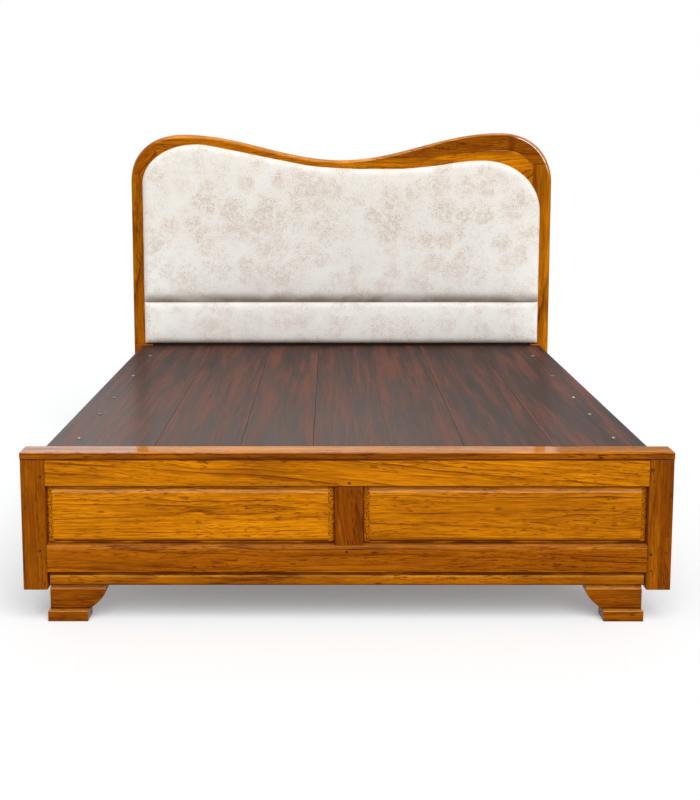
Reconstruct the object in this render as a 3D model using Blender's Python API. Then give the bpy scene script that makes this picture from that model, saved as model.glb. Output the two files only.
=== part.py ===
# A king size bed in solid timber: a panelled footboard on bracket feet, a headboard whose frame
# rises in two unequal waves round two upholstered pads, and a boarded deck on cross bearers.
# Metres, +Z up. X runs across the bed, -Y is the foot end, and Z is zero on the floor.

import math

import bpy
import numpy as np

# Fits and broken edges
fit = 0.0003
broken_edge = 0.0015
hidden_edge = 0.0008
cut_overrun = 0.01

# Whole bed
bed_width = 1.915
headboard_height = 1.468
deck_reveal = 0.043
deck_length = 1.981
deck_top = 0.497
deck_thickness = 0.018

# Footboard
foot_post_width = 0.072
foot_post_depth = 0.079
foot_post_drop = 0.0115
foot_post_round = 0.003
cap_rise = 0.018
cap_thickness = 0.0205
cap_overhang = 0.001
cap_nose = 0.005
rail_height = 0.0825
rail_thickness = 0.035
rail_setback = 0.001
panel_opening = 0.177
muntin_width = 0.083
muntin_offset = 0.0055
lip_round = 0.0035

# Fielded panels and the grooves that hold them
panel_recess = 0.019
tongue_thickness = 0.008
groove_depth = 0.01
tongue_slack = 0.001
panel_margin = 0.005
panel_slope = 0.014
panel_slope_rise = 0.008
panel_fillet = 0.0035
panel_field_round = 0.0015

# Footboard tenons
tenon_thickness = 0.012
tenon_setback = 0.0125
tenon_length = 0.035
tenon_shoulder = 0.0105
muntin_tenon_length = 0.03
muntin_shoulder = 0.016

# Base moulding under the footboard
moulding_height = 0.042
moulding_setback = 0.007
moulding_depth = 0.055
moulding_end_gap = 0.005
moulding_nose = 0.0075

# Bracket feet and the pads under them
left_foot_inset = 0.0015
right_foot_inset = 0.006
left_foot_length = 0.167
right_foot_length = 0.168
foot_taper = 0.05
foot_setback = 0.022
foot_depth = 0.053
foot_chamfer = 0.0175
foot_front_taper = 0.002
foot_curve_power = 1.75
foot_curve_steps = 8
pad_height = 0.032
left_pad_outset = 0.004
right_pad_outset = 0.002
pad_setback = 0.004
pad_length = 0.119

# Joint pins. Each is across from its post's inner side, or from the muntin's middle, as a share
# of that piece's width, and up from the rail's lower edge as a share of the rail's height.
pin_diameter = 0.008
pin_length = 0.03
pin_shares = {
    "left_top": (0.2, 0.366, 1.0),
    "left_bottom": (0.285, 0.79, 1.0),
    "right_top": (0.132, 0.602, 1.0),
    "right_top_small": (0.2, 0.2, 0.6),
    "right_bottom": (0.146, 0.658, 1.0),
    "right_bottom_small": (0.174, 0.05, 0.6),
    "muntin_top": (0.018, 0.137, 1.0),
    "muntin_bottom": (-0.078, 0.758, 1.0),
}

# Headboard frame
head_post_width = 0.0865
headboard_thickness = 0.045
headboard_round = 0.02
post_round = 0.013
back_round = 0.003
crest_peak_share = 0.75
crest_dip = 0.122
left_peak_drop = 0.007
left_corner_drop = 0.21
right_corner_drop = 0.228
crest_corner_power = 2.17
left_joint_drop = 0.186
right_joint_drop = 0.143
mitre_inset = 0.1105
mitre_lean = 0.017
top_rail_width = 0.075
tongue_drop = 0.02
tongue_reach = 0.136
block_reach = 0.111
block_drop = 0.16
# Top rail's width along the crest: across as shares of the bed's half width, then as shares of
# the rail's width.
top_rail_shares = (
    (0.216, 1.25),
    (0.303, 1.05),
    (0.4, 0.87),
    (0.49, 0.89),
    (0.585, 0.96),
    (0.68, 1.015),
    (0.77, 1.04),
    (0.825, 0.975),
    (1.0, 0.985),
)
head_rail_height = 0.09
head_tenon_thickness = 0.012
head_tenon_length = 0.03
head_tenon_shoulder = 0.02
back_panel_thickness = 0.006
back_panel_slack = 0.0008

# Upholstered pads
pad_reveal = 0.054
pad_overlap = 0.033
lower_pad_gap = 0.011
lower_pad_height = 0.191
lower_pad_crown = 0.028
pad_seam = 0.0006
upper_pad_crown = 0.04
pad_wall = 0.009
pad_drawn_in = 0.003
pad_roll = 0.026
pad_dome = 0.14
upper_pad_bottom_roll = 0.055
upper_pad_left_reveal = 0.0445
upper_pad_right_reveal = 0.1245
upper_pad_left_drop = 0.18
upper_pad_right_drop = 0.235
upper_pad_corner_power = 2.05
upper_pad_fall = 0.1105
pad_roll_share = 0.8
# Places in a pad's rolled edge, as shares of the roll.
roll_shares = (0.0, 0.08, 0.27, 0.58, 1.0)
# The upper pad's two peaks across, as shares of its half width.
left_peak_share = -0.7255
right_peak_share = 0.709
# The upper pad's edge between its peaks: across as shares of its half width, and down from the
# left peak as shares of the fall from there to its lowest point.
upper_pad_shares = (
    (-0.592, 0.165),
    (-0.424, 0.44),
    (-0.257, 0.72),
    (-0.145, 0.88),
    (0.042, 0.985),
    (0.18, 1.0),
    (0.321, 0.983),
    (0.489, 0.848),
    (0.6, 0.714),
)

# Side rails, and the blocks behind them on the headboard posts
side_rail_thickness = 0.028
side_rail_height = 0.15
side_rail_inset = 0.006
side_tenon_thickness = 0.012
side_tenon_length = 0.025
side_tenon_shoulder = 0.02
block_depth = 0.025
block_rise = 0.006
left_block_inset = 0.0065
left_block_width = 0.085
left_block_corner = 0.012
right_block_inset = 0.042
right_block_width = 0.043

# Bearers, the beam under them and its leg
bearer_width = 0.05
bearer_height = 0.04
bearer_housing = 0.012
bearer_shares = (0.0895, 0.263, 0.405, 0.6195, 0.857)
leg_share = bearer_shares[2]
beam_width = 0.04
beam_height = 0.07
leg_side = 0.06

# Deck boards and their screws
deck_seam = 0.0008
deck_seam_shares = (0.18, 0.3235, 0.4445, 0.6965, 0.8435)
screw_head = 0.015
screw_head_height = 0.004
screw_shank = 0.005
screw_length = 0.045
screw_inset = 0.079

# Places that follow from the sizes above
half_width = bed_width / 2
deck_half_width = half_width - deck_reveal
deck_bottom = deck_top - deck_thickness
bearer_top = deck_bottom - fit
cap_top = deck_top + cap_rise
cap_bottom = cap_top - cap_thickness
opening_top = cap_bottom - rail_height
opening_bottom = opening_top - panel_opening
rail_bottom = opening_bottom - rail_height
moulding_bottom = rail_bottom - moulding_height
bed_length = foot_post_depth + deck_length + block_depth + headboard_thickness
foot_front = -bed_length / 2
foot_back = foot_front + foot_post_depth
deck_back = foot_back + deck_length
head_front = deck_back + block_depth
head_back = head_front + headboard_thickness
post_inner = half_width - foot_post_width
head_post_inner = half_width - head_post_width
left_joint = headboard_height - left_joint_drop
right_joint = headboard_height - right_joint_drop
pad_half_width = half_width - pad_reveal
pad_back = head_front - fit
lower_pad_bottom = deck_top + lower_pad_gap
lower_pad_top = lower_pad_bottom + lower_pad_height
upper_pad_bottom = lower_pad_top + pad_seam
side_rail_outer = deck_half_width - side_rail_inset
side_rail_inner = side_rail_outer - side_rail_thickness
bearer_places = [foot_back + deck_length * share for share in bearer_shares]
sides = (("left", -1), ("right", 1))


def clear_scene():
    for old in list(bpy.data.objects):
        bpy.data.objects.remove(old)


def principled(name, colour, roughness, metallic=0):
    material = bpy.data.materials.new(name)
    material.use_nodes = True
    shader = material.node_tree.nodes["Principled BSDF"]
    shader.inputs["Base Color"].default_value = (*colour, 1)
    shader.inputs["Roughness"].default_value = roughness
    shader.inputs["Metallic"].default_value = metallic
    return material


def make_materials():
    return {
        "teak": principled("varnished_teak", (0.48, 0.19, 0.02), 0.3),
        "dark_teak": principled("dark_teak", (0.2, 0.07, 0.01), 0.35),
        "pin": principled("pin_wood", (0.03, 0.015, 0.01), 0.5),
        "frame": principled("frame_timber", (0.3, 0.18, 0.09), 0.6),
        "deck": principled("stained_deck", (0.09, 0.045, 0.035), 0.45),
        "ply": principled("plywood", (0.5, 0.36, 0.2), 0.7),
        "fabric": principled("printed_fabric", (0.8, 0.77, 0.72), 0.9),
        "screw": principled("screw_steel", (0.5, 0.45, 0.36), 0.35, 1),
    }


def add_group(name, place):
    group = bpy.data.objects.new(name, None)
    group.location = place
    bpy.context.scene.collection.objects.link(group)
    return group


def add_mesh(name, points, faces, material=None, group=None):
    """An object whose origin is the middle of its points, under its group's empty."""
    points = np.asarray(points, float)
    middle = (points.min(axis=0) + points.max(axis=0)) / 2
    mesh = bpy.data.meshes.new(name)
    mesh.from_pydata((points - middle).tolist(), [], faces)
    mesh.update()
    mesh.shade_smooth()
    mesh.set_sharp_from_angle(angle=math.radians(40))
    made = bpy.data.objects.new(name, mesh)
    bpy.context.scene.collection.objects.link(made)
    made.location = middle
    if material is not None:
        mesh.materials.append(material)
    if group is not None:
        made.parent = group
        made.location = middle - np.array(group.location)
    return made


def join_rings(rings):
    """Points and faces of a closed body that runs through rings of equal count."""
    count = len(rings[0])
    faces = []
    for ring in range(len(rings) - 1):
        near = ring * count
        far = near + count
        for here in range(count):
            after = (here + 1) % count
            faces.append([near + here, near + after, far + after, far + here])
    last = (len(rings) - 1) * count
    faces.append(list(range(count))[::-1])
    faces.append(list(range(last, last + count)))
    return np.concatenate(rings), faces


def section(low, high, rounds, steps=2):
    """A rectangle with its four corners rounded, anticlockwise from the corner at low."""
    corners = (
        (low[0], low[1], 1, 1, 180),
        (high[0], low[1], -1, 1, 270),
        (high[0], high[1], -1, -1, 0),
        (low[0], high[1], 1, -1, 90),
    )
    points = []
    for (u, v, to_u, to_v, start), radius in zip(corners, rounds):
        for step in range(steps + 1):
            angle = math.radians(start + 90 * step / steps)
            turn_u = radius * (to_u + math.cos(angle))
            turn_v = radius * (to_v + math.sin(angle))
            points.append((u + turn_u, v + turn_v))
    return points


def shrunk(low, high, inset):
    return (low[0] + inset, low[1] + inset), (high[0] - inset, high[1] - inset)


def bar(name, axis, stops, material=None, group=None):
    """A bar along one axis. Each stop is its place on the axis, then the low corner, the high
    corner and the corner radii of its section, over y and z, over z and x, or over x and y."""
    rings = []
    for place, low, high, rounds in stops:
        u, v = np.array(section(low, high, rounds)).T
        along = np.full(len(u), place)
        columns = {"x": (along, u, v), "y": (v, along, u), "z": (u, v, along)}[axis]
        rings.append(np.stack(columns, axis=1))
    return add_mesh(name, *join_rings(rings), material, group)


def plain_bar(name, axis, ends, low, high, material, group, rounds=None, edge=broken_edge):
    """A bar of one section whose ends have a broken edge too."""
    rounds = rounds or (edge,) * 4
    small = shrunk(low, high, edge)
    small_rounds = [max(radius - edge, edge / 2) for radius in rounds]
    stops = (
        (ends[0], *small, small_rounds),
        (ends[0] + edge, low, high, rounds),
        (ends[1] - edge, low, high, rounds),
        (ends[1], *small, small_rounds),
    )
    return bar(name, axis, stops, material, group)


def tenoned_bar(name, axis, ends, low, high, tenon, lengths, material, group, rounds=None):
    """A bar between two shoulders, with a tenon beyond each of them."""
    rounds = rounds or (broken_edge,) * 4
    narrow = (hidden_edge,) * 4
    tip = shrunk(*tenon, hidden_edge)
    tip_rounds = (hidden_edge / 2,) * 4
    start, stop = ends
    stops = (
        (start - lengths[0], *tip, tip_rounds),
        (start - lengths[0] + hidden_edge, *tenon, narrow),
        (start, *tenon, narrow),
        (start, low, high, rounds),
        (stop, low, high, rounds),
        (stop, *tenon, narrow),
        (stop + lengths[1] - hidden_edge, *tenon, narrow),
        (stop + lengths[1], *tip, tip_rounds),
    )
    return bar(name, axis, stops, material, group)


def as_cutter(cutter):
    cutter.hide_render = True
    cutter.display_type = "WIRE"
    return cutter


def box_cutter(name, x, y, z):
    """A plain box that cuts, between two places on each axis in either order."""
    (x0, x1), (y0, y1), (z0, z1) = sorted(x), sorted(y), sorted(z)
    rings = [[(x0, y0, z), (x1, y0, z), (x1, y1, z), (x0, y1, z)] for z in (z0, z1)]
    return as_cutter(add_mesh(name, *join_rings(rings)))


def grown(ends):
    """The two ends of a piece, a fit wider at both."""
    low, high = sorted(ends)
    return low - fit, high + fit


def cut_away(piece, cutters):
    for cutter in cutters:
        boolean = piece.modifiers.new(cutter.name, "BOOLEAN")
        boolean.operation = "DIFFERENCE"
        boolean.solver = "EXACT"
        boolean.object = cutter


def turned(name, centre, profile, axis, material=None, group=None, sides=12):
    """A body turned round an axis through centre. The profile holds (place, radius) pairs."""
    angles = np.arange(sides) * 2 * math.pi / sides
    rings = []
    for place, radius in profile:
        u, v = radius * np.cos(angles), radius * np.sin(angles)
        along = np.full(sides, place)
        columns = (v, along, u) if axis == "y" else (u, v, along)
        rings.append(np.stack(columns, axis=1) + np.array(centre))
    return add_mesh(name, *join_rings(rings), material, group)


def rail_tenon(bottom, top):
    """The section of a footboard rail's tenon, over y and z."""
    near = foot_front + tenon_setback
    return (near, bottom + tenon_shoulder), (near + tenon_thickness, top - tenon_shoulder)


def groove_cutter(name, x, z):
    near = foot_front + panel_recess
    return box_cutter(name, x, grown((near, near + tongue_thickness)), z)


def footboard_rails():
    """Name, lower and upper edge, and the ends of the groove's height, of each rail."""
    top_groove = (opening_top - cut_overrun, opening_top + groove_depth)
    bottom_groove = (opening_bottom - groove_depth, opening_bottom + cut_overrun)
    return (
        ("top", opening_top, cap_bottom - fit, top_groove),
        ("bottom", rail_bottom, opening_bottom, bottom_groove),
    )


def muntin_sides():
    return muntin_offset - muntin_width / 2, muntin_offset + muntin_width / 2


def muntin_tenon():
    """The section of the muntin's tenons, over x and y."""
    low_x, high_x = muntin_sides()
    near = foot_front + tenon_setback
    return (low_x + muntin_shoulder, near), (high_x - muntin_shoulder, near + tenon_thickness)


def add_joint_pins(materials, group):
    """Round pins driven in from the front, each with the cutter of its hole."""
    holes = {}
    starts = {"left": -post_inner, "right": post_inner, "muntin": muntin_offset}
    widths = {"left": -foot_post_width, "right": foot_post_width, "muntin": muntin_width}
    for name, (across, up, size) in pin_shares.items():
        piece = name.split("_")[0]
        low = opening_top if "top" in name else rail_bottom
        centre = (starts[piece] + across * widths[piece], 0, low + up * rail_height)
        front = foot_front + (rail_setback if piece == "muntin" else 0)
        radius = pin_diameter * size / 2
        pin = ((front, radius - hidden_edge), (front + hidden_edge, radius), (front + pin_length, radius))
        turned("joint_pin_" + name, centre, pin, "y", materials["pin"], group)
        hole = ((front - cut_overrun, radius + fit), (front + pin_length + fit, radius + fit))
        holes[name] = as_cutter(turned("cut_pin_" + name, centre, hole, "y"))
    return holes


def add_footboard_rails(holes, materials, group):
    """Top and bottom rail: tenoned into the posts, grooved for the panels, mortised for the muntin."""
    near, far = foot_front + rail_setback, foot_front + rail_thickness
    low, high = muntin_tenon()
    for name, bottom, top, groove in footboard_rails():
        rounds = [broken_edge] * 4
        rounds[0 if name == "top" else 3] = lip_round
        rail = tenoned_bar(
            f"footboard_{name}_rail", "x", (fit - post_inner, post_inner - fit), (near, bottom), (far, top),
            rail_tenon(bottom, top), (tenon_length,) * 2, materials["teak"], group, rounds,
        )
        edge, depth = (bottom, 1) if name == "top" else (top, -1)
        mortise = (edge - depth * cut_overrun, edge + depth * (muntin_tenon_length + fit))
        cutters = [
            groove_cutter("cut_groove_" + name, (-post_inner, post_inner), groove),
            box_cutter("cut_mortise_" + name, grown((low[0], high[0])), grown((low[1], high[1])), mortise),
        ]
        cut_away(rail, cutters + [hole for pin, hole in holes.items() if name in pin])


def add_muntin(holes, materials, group):
    """The short upright between the panels, tenoned into both rails and grooved at both sides."""
    low_x, high_x = muntin_sides()
    near, far = foot_front + rail_setback, foot_front + rail_thickness
    muntin = tenoned_bar(
        "footboard_muntin", "z", (opening_bottom + fit, opening_top - fit), (low_x, near), (high_x, far),
        muntin_tenon(), (muntin_tenon_length,) * 2, materials["dark_teak"], group,
        (lip_round, lip_round, broken_edge, broken_edge),
    )
    tall = (opening_bottom - cut_overrun, opening_top + cut_overrun)
    cutters = [
        groove_cutter("cut_groove_muntin_left", (low_x - cut_overrun, low_x + groove_depth), tall),
        groove_cutter("cut_groove_muntin_right", (high_x - groove_depth, high_x + cut_overrun), tall),
        holes["muntin_top"],
        holes["muntin_bottom"],
    ]
    cut_away(muntin, cutters)


def add_foot_posts(holes, materials, group):
    """The footboard posts, mortised for the rails and side rails and grooved for the panels."""
    for side, sign in sides:
        across = sorted((sign * post_inner, sign * half_width))
        post = plain_bar(
            "footboard_post_" + side, "z", (moulding_bottom - foot_post_drop, cap_bottom - fit),
            (across[0], foot_front), (across[1], foot_back), materials["teak"], group,
            (foot_post_round,) * 4,
        )
        mouth = sign * (post_inner - cut_overrun)
        cutters = [hole for pin, hole in holes.items() if side in pin]
        for name, bottom, top, _ in footboard_rails():
            low, high = rail_tenon(bottom, top)
            cutters.append(
                box_cutter(
                    f"cut_mortise_{name}_{side}", (mouth, sign * (post_inner + tenon_length)),
                    grown((low[0], high[0])), grown((low[1], high[1])),
                )
            )
        tall = (opening_bottom - groove_depth, opening_top + groove_depth)
        groove = (mouth, sign * (post_inner + groove_depth))
        cutters.append(groove_cutter("cut_groove_post_" + side, groove, tall))
        depth = (foot_back - side_tenon_length, foot_back + cut_overrun)
        cutters.append(side_tenon_cutter("foot_" + side, sign, depth))
        cut_away(post, cutters)


def add_panels(materials, group):
    """Two fielded panels whose thin tongues sit in the grooves all round."""
    low_x, high_x = muntin_sides()
    tongue = groove_depth - tongue_slack
    shoulder = foot_front + panel_recess
    slope_front = shoulder - panel_slope_rise
    field = slope_front - panel_fillet
    inset = panel_margin + panel_slope
    steps = (
        (inset + panel_field_round, field),
        (inset, field + panel_field_round),
        (inset, slope_front),
        (panel_margin, shoulder),
        (-tongue, shoulder),
        (-tongue, shoulder + tongue_thickness),
    )
    for side, start, stop in (("left", -post_inner, low_x), ("right", high_x, post_inner)):
        stops = []
        for margin, place in steps:
            low, high = shrunk((opening_bottom, start), (opening_top, stop), margin)
            stops.append((place, low, high, (hidden_edge,) * 4))
        bar("footboard_panel_" + side, "y", stops, materials["teak"], group)


def add_cap(materials, group):
    reach = half_width + cap_overhang
    plain_bar(
        "footboard_cap", "x", (-reach, reach), (foot_front, cap_bottom), (foot_back - fit, cap_top),
        materials["teak"], group, (broken_edge, broken_edge, broken_edge, cap_nose),
    )


def add_base_moulding(materials, group):
    reach = post_inner - moulding_end_gap
    front = foot_front + moulding_setback
    plain_bar(
        "footboard_base_moulding", "x", (-reach, reach), (front, moulding_bottom),
        (front + moulding_depth, rail_bottom - fit), materials["teak"], group,
        (moulding_nose / 2, broken_edge, broken_edge, moulding_nose),
    )


def add_feet(materials, group):
    """Each foot is a bracket block, drawn in at its front and its inner side, on a flat pad."""
    top = moulding_bottom - fit
    waist = top - foot_chamfer
    bottom = pad_height + fit
    front = foot_front + foot_setback
    back = front + foot_depth
    insets = {"left": left_foot_inset, "right": right_foot_inset}
    lengths = {"left": left_foot_length, "right": right_foot_length}
    outsets = {"left": left_pad_outset, "right": right_pad_outset}
    for side, sign in sides:
        outer = post_inner - insets[side]
        places = [(top, lengths[side] - foot_chamfer / 2, foot_chamfer)]
        for step in range(foot_curve_steps + 1):
            share = step / foot_curve_steps
            drawn = share**foot_curve_power
            height = waist + (bottom - waist) * share
            places.append((height, lengths[side] - foot_taper * drawn, foot_front_taper * drawn))
        stops = []
        for height, length, setback in places[::-1]:
            across = sorted((sign * (outer - length), sign * outer))
            stops.append(
                (height, (across[0], front + setback), (across[1], back), (broken_edge,) * 4)
            )
        bar("front_foot_" + side, "z", stops, materials["teak"], group)
        edge = outer + outsets[side]
        across = sorted((sign * (edge - pad_length), sign * edge))
        plain_bar(
            "front_foot_pad_" + side, "z", (0, pad_height), (across[0], foot_front + pad_setback),
            (across[1], back), materials["teak"], group,
        )


def add_footboard(materials, group):
    holes = add_joint_pins(materials, group)
    add_footboard_rails(holes, materials, group)
    add_muntin(holes, materials, group)
    add_foot_posts(holes, materials, group)
    add_panels(materials, group)
    add_cap(materials, group)
    add_base_moulding(materials, group)
    add_feet(materials, group)


def side_tenon(sign):
    """The section of a side rail's tenon, over z and x."""
    far = side_rail_outer - broken_edge
    across = sorted((sign * (far - side_tenon_thickness), sign * far))
    low = bearer_top - side_rail_height + side_tenon_shoulder
    return (low, across[0]), (bearer_top - side_tenon_shoulder, across[1])


def side_tenon_cutter(name, sign, y):
    low, high = side_tenon(sign)
    return box_cutter("cut_side_tenon_" + name, grown((low[1], high[1])), y, grown((low[0], high[0])))


def add_side_rails(materials, group):
    """Two side rails, each with a tenon at both ends and a housing for each bearer."""
    low_z = bearer_top - side_rail_height
    for side, sign in sides:
        across = sorted((sign * side_rail_inner, sign * side_rail_outer))
        rail = tenoned_bar(
            "side_rail_" + side, "y", (foot_back + fit, deck_back - fit), (low_z, across[0]),
            (bearer_top, across[1]), side_tenon(sign),
            (side_tenon_length, block_depth + side_tenon_length), materials["frame"], group,
        )
        housing = (sign * (side_rail_inner - cut_overrun), sign * (side_rail_inner + bearer_housing + fit))
        tall = (bearer_top - bearer_height - fit, bearer_top + cut_overrun)
        cutters = []
        for number, place in enumerate(bearer_places, 1):
            wide = grown((place - bearer_width / 2, place + bearer_width / 2))
            cutters.append(box_cutter(f"cut_housing_{side}_{number}", housing, wide, tall))
        cut_away(rail, cutters)


def add_rail_blocks(materials, group):
    """Blocks on the headboard posts that the side rails' tenons pass through."""
    insets = {"left": left_block_inset, "right": right_block_inset}
    widths = {"left": left_block_width, "right": right_block_width}
    corners = {"left": left_block_corner, "right": broken_edge}
    for side, sign in sides:
        outer = half_width - insets[side]
        across = sorted((sign * (outer - widths[side]), sign * outer))
        block = plain_bar(
            "rail_block_" + side, "y", (deck_back, head_front - fit),
            (bearer_top - side_rail_height, across[0]), (deck_top + block_rise, across[1]),
            materials["teak"], group, (broken_edge, corners[side], broken_edge, broken_edge),
        )
        depth = (deck_back - cut_overrun, head_front + cut_overrun)
        cut_away(block, [side_tenon_cutter("block_" + side, sign, depth)])


def add_bearers(holes, materials, group):
    reach = side_rail_inner + bearer_housing
    for number, place in enumerate(bearer_places, 1):
        bearer = plain_bar(
            f"cross_bearer_{number}", "x", (-reach, reach),
            (place - bearer_width / 2, bearer_top - bearer_height), (place + bearer_width / 2, bearer_top),
            materials["frame"], group, None, hidden_edge,
        )
        cut_away(bearer, [holes["left", number], holes["right", number]])


def add_centre_support(materials, group):
    """A beam along the middle under the bearers, and the leg that carries it."""
    top = bearer_top - bearer_height - fit
    ends = (bearer_places[0] - bearer_width / 2, bearer_places[-1] + bearer_width / 2)
    plain_bar(
        "centre_beam", "y", ends, (top - beam_height, -beam_width / 2), (top, beam_width / 2),
        materials["frame"], group, None, hidden_edge,
    )
    middle = foot_back + deck_length * leg_share
    plain_bar(
        "centre_leg", "z", (0, top - beam_height - fit), (-leg_side / 2, middle - leg_side / 2),
        (leg_side / 2, middle + leg_side / 2), materials["frame"], group,
    )


def screw_profile():
    """A screw's outline from its point up over its domed head."""
    seat = deck_top + fit
    point = deck_top - screw_length
    profile = [
        (point, screw_shank / 4),
        (point + screw_shank, screw_shank / 2),
        (seat, screw_shank / 2),
        (seat, screw_head / 2),
    ]
    for degrees in (25, 50, 70):
        angle = math.radians(degrees)
        rise = screw_head_height * math.sin(angle)
        profile.append((seat + rise, screw_head / 2 * math.cos(angle)))
    return profile


def add_deck_screws(materials, group):
    """Screws through the outer boards into each bearer, and the cutters of their holes."""
    holes = {}
    radius = screw_shank / 2 + fit
    hole = ((deck_top - screw_length - fit, radius), (deck_top + cut_overrun, radius))
    for side, sign in sides:
        across = sign * (deck_half_width - screw_inset)
        for number, place in enumerate(bearer_places, 1):
            centre = (across, place, 0)
            name = f"{side}_{number}"
            turned("deck_screw_" + name, centre, screw_profile(), "z", materials["screw"], group)
            holes[side, number] = as_cutter(turned("cut_screw_" + name, centre, hole, "z"))
    return holes


def add_deck_boards(holes, materials, group):
    """Boards laid side by side down the bed. The outer two are drilled for the screws."""
    seams = [deck_half_width * (2 * share - 1) for share in deck_seam_shares]
    starts = [-deck_half_width, *(seam + deck_seam / 2 for seam in seams)]
    stops = [*(seam - deck_seam / 2 for seam in seams), deck_half_width]
    for number, (start, stop) in enumerate(zip(starts, stops), 1):
        board = plain_bar(
            f"deck_board_{number}", "y", (foot_back + fit, deck_back - fit), (deck_bottom, start),
            (deck_top, stop), materials["deck"], group, None, hidden_edge,
        )
        side = {1: "left", len(starts): "right"}.get(number)
        cut_away(board, [hole for (end, _), hole in holes.items() if end == side])


def add_deck(materials, group):
    holes = add_deck_screws(materials, group)
    add_side_rails(materials, group)
    add_rail_blocks(materials, group)
    add_bearers(holes, materials, group)
    add_centre_support(materials, group)
    add_deck_boards(holes, materials, group)


# Lines of the headboard, in the plane of its front. Each is an array of (x, z) points that
# runs from the left over the top to the right.


def evenly(line, count):
    """The same line with its points an equal distance apart."""
    line = np.asarray(line, float)
    runs = np.concatenate([[0], np.cumsum(np.hypot(*np.diff(line, axis=0).T))])
    places = np.linspace(0, runs[-1], count)
    return np.stack([np.interp(places, runs, line[:, 0]), np.interp(places, runs, line[:, 1])], axis=1)


def corner_curve(peak, reach, drop, power, steps):
    """A quarter of a superellipse, from the level peak to the upright side below it."""
    angles = np.linspace(0, math.pi / 2, steps)
    x = peak[0] + reach * np.sin(angles) ** (2 / power)
    z = peak[1] - drop + drop * np.cos(angles) ** (2 / power)
    return np.stack([x, z], axis=1)


def wave(start, stop, steps):
    """Half a cosine wave between two level points."""
    share = np.linspace(0, 1, steps)
    x = start[0] + (stop[0] - start[0]) * share
    z = start[1] + (stop[1] - start[1]) * (1 - np.cos(math.pi * share)) / 2
    return np.stack([x, z], axis=1)


def smooth_through(points, steps):
    """A cubic through points of rising x, level at both ends."""
    x, z = np.asarray(points, float).T
    slopes = np.concatenate([[0], (z[2:] - z[:-2]) / (x[2:] - x[:-2]), [0]])
    at = np.linspace(x[0], x[-1], steps)
    part = np.clip(np.searchsorted(x, at) - 1, 0, len(x) - 2)
    width = x[part + 1] - x[part]
    t = (at - x[part]) / width
    height = (2 * t**3 - 3 * t**2 + 1) * z[part] + (3 * t**2 - 2 * t**3) * z[part + 1]
    lean = (t**3 - 2 * t**2 + t) * slopes[part] + (t**3 - t**2) * slopes[part + 1]
    return np.stack([at, height + width * lean], axis=1)


def mirrored(line):
    return line[::-1] * np.array([-1, 1])


def moved_inward(line, distance):
    """The line moved to the right of its direction of travel."""
    along = np.gradient(line, axis=0)
    along /= np.hypot(*along.T)[:, None]
    inward = np.stack([along[:, 1], -along[:, 0]], axis=1)
    return line + inward * np.broadcast_to(distance, len(line))[:, None]


def frame_line():
    """The frame's outer edge: up the left post, over two peaks and a dip, and down the right."""
    peak_x = half_width * crest_peak_share
    reach = half_width - peak_x
    left_peak = headboard_height - left_peak_drop
    dip = (0, headboard_height - crest_dip)
    steps = 50
    left_corner = corner_curve((peak_x, left_peak), reach, left_corner_drop, crest_corner_power, steps)
    right_peak = (peak_x, headboard_height)
    right_corner = corner_curve(right_peak, reach, right_corner_drop, crest_corner_power, steps)
    parts = [
        [(-half_width, 0)],
        mirrored(left_corner),
        wave((-peak_x, left_peak), dip, steps)[1:],
        wave(dip, right_peak, steps)[1:],
        right_corner[1:],
        [(half_width, 0)],
    ]
    return evenly(np.concatenate(parts), 900)


def upper_pad_line(corner_steps, middle_steps):
    """The upper pad's edge from the foot of its left corner to the foot of its right corner."""
    left_peak = headboard_height - left_peak_drop - upper_pad_left_reveal
    left = (pad_half_width * left_peak_share, left_peak)
    right = (pad_half_width * right_peak_share, headboard_height - upper_pad_right_reveal)
    between = [
        (pad_half_width * across, left_peak - upper_pad_fall * down)
        for across, down in upper_pad_shares
    ]
    power = upper_pad_corner_power
    left_corner = corner_curve(
        (-left[0], left[1]), pad_half_width + left[0], upper_pad_left_drop, power, corner_steps
    )
    right_corner = corner_curve(
        right, pad_half_width - right[0], upper_pad_right_drop, power, corner_steps
    )
    middle = smooth_through([left, *between, right], middle_steps)
    return np.concatenate([mirrored(left_corner), middle[1:-1], right_corner])


def hidden_line():
    """The frame's inner edge, which the pads cover."""
    inner = moved_inward(evenly(upper_pad_line(50, 120), 500), pad_overlap)
    inner = inner[np.abs(inner[:, 0]) < head_post_inner]
    return evenly(np.concatenate([[(-head_post_inner, 0)], inner, [(head_post_inner, 0)]]), 900)


def reach_at(line, axis, value):
    """How many points along the line it first reaches the value on the axis."""
    values = line[:, axis]
    after = int(np.argmax(values >= value))
    before = after - 1
    return before + (value - values[before]) / (values[after] - values[before])


def reach_from_end(line, axis, value):
    return len(line) - 1 - reach_at(line[::-1], axis, value)


def span(line, start, stop, count):
    places = np.linspace(start, stop, count)
    known = np.arange(len(line))
    return np.stack([np.interp(places, known, line[:, 0]), np.interp(places, known, line[:, 1])], axis=1)


def point_at(line, place):
    return span(line, place, place, 1)[0]


def step_of(line):
    return np.hypot(*(line[1] - line[0]))


def glue_line(outline):
    """The joint under the top rail, from where the pads cover it to the right post."""
    across, widths = np.array(top_rail_shares).T
    width = top_rail_width * np.interp(outline[:, 0] / half_width, across, widths)
    first = int(reach_at(outline, 0, half_width * across[0]))
    last = int(reach_from_end(outline, 1, right_joint))
    line = moved_inward(outline, width)[first:last]
    line = line[line[:, 0] < head_post_inner - mitre_lean]
    return np.concatenate([line, [(head_post_inner, right_joint)]])


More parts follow.
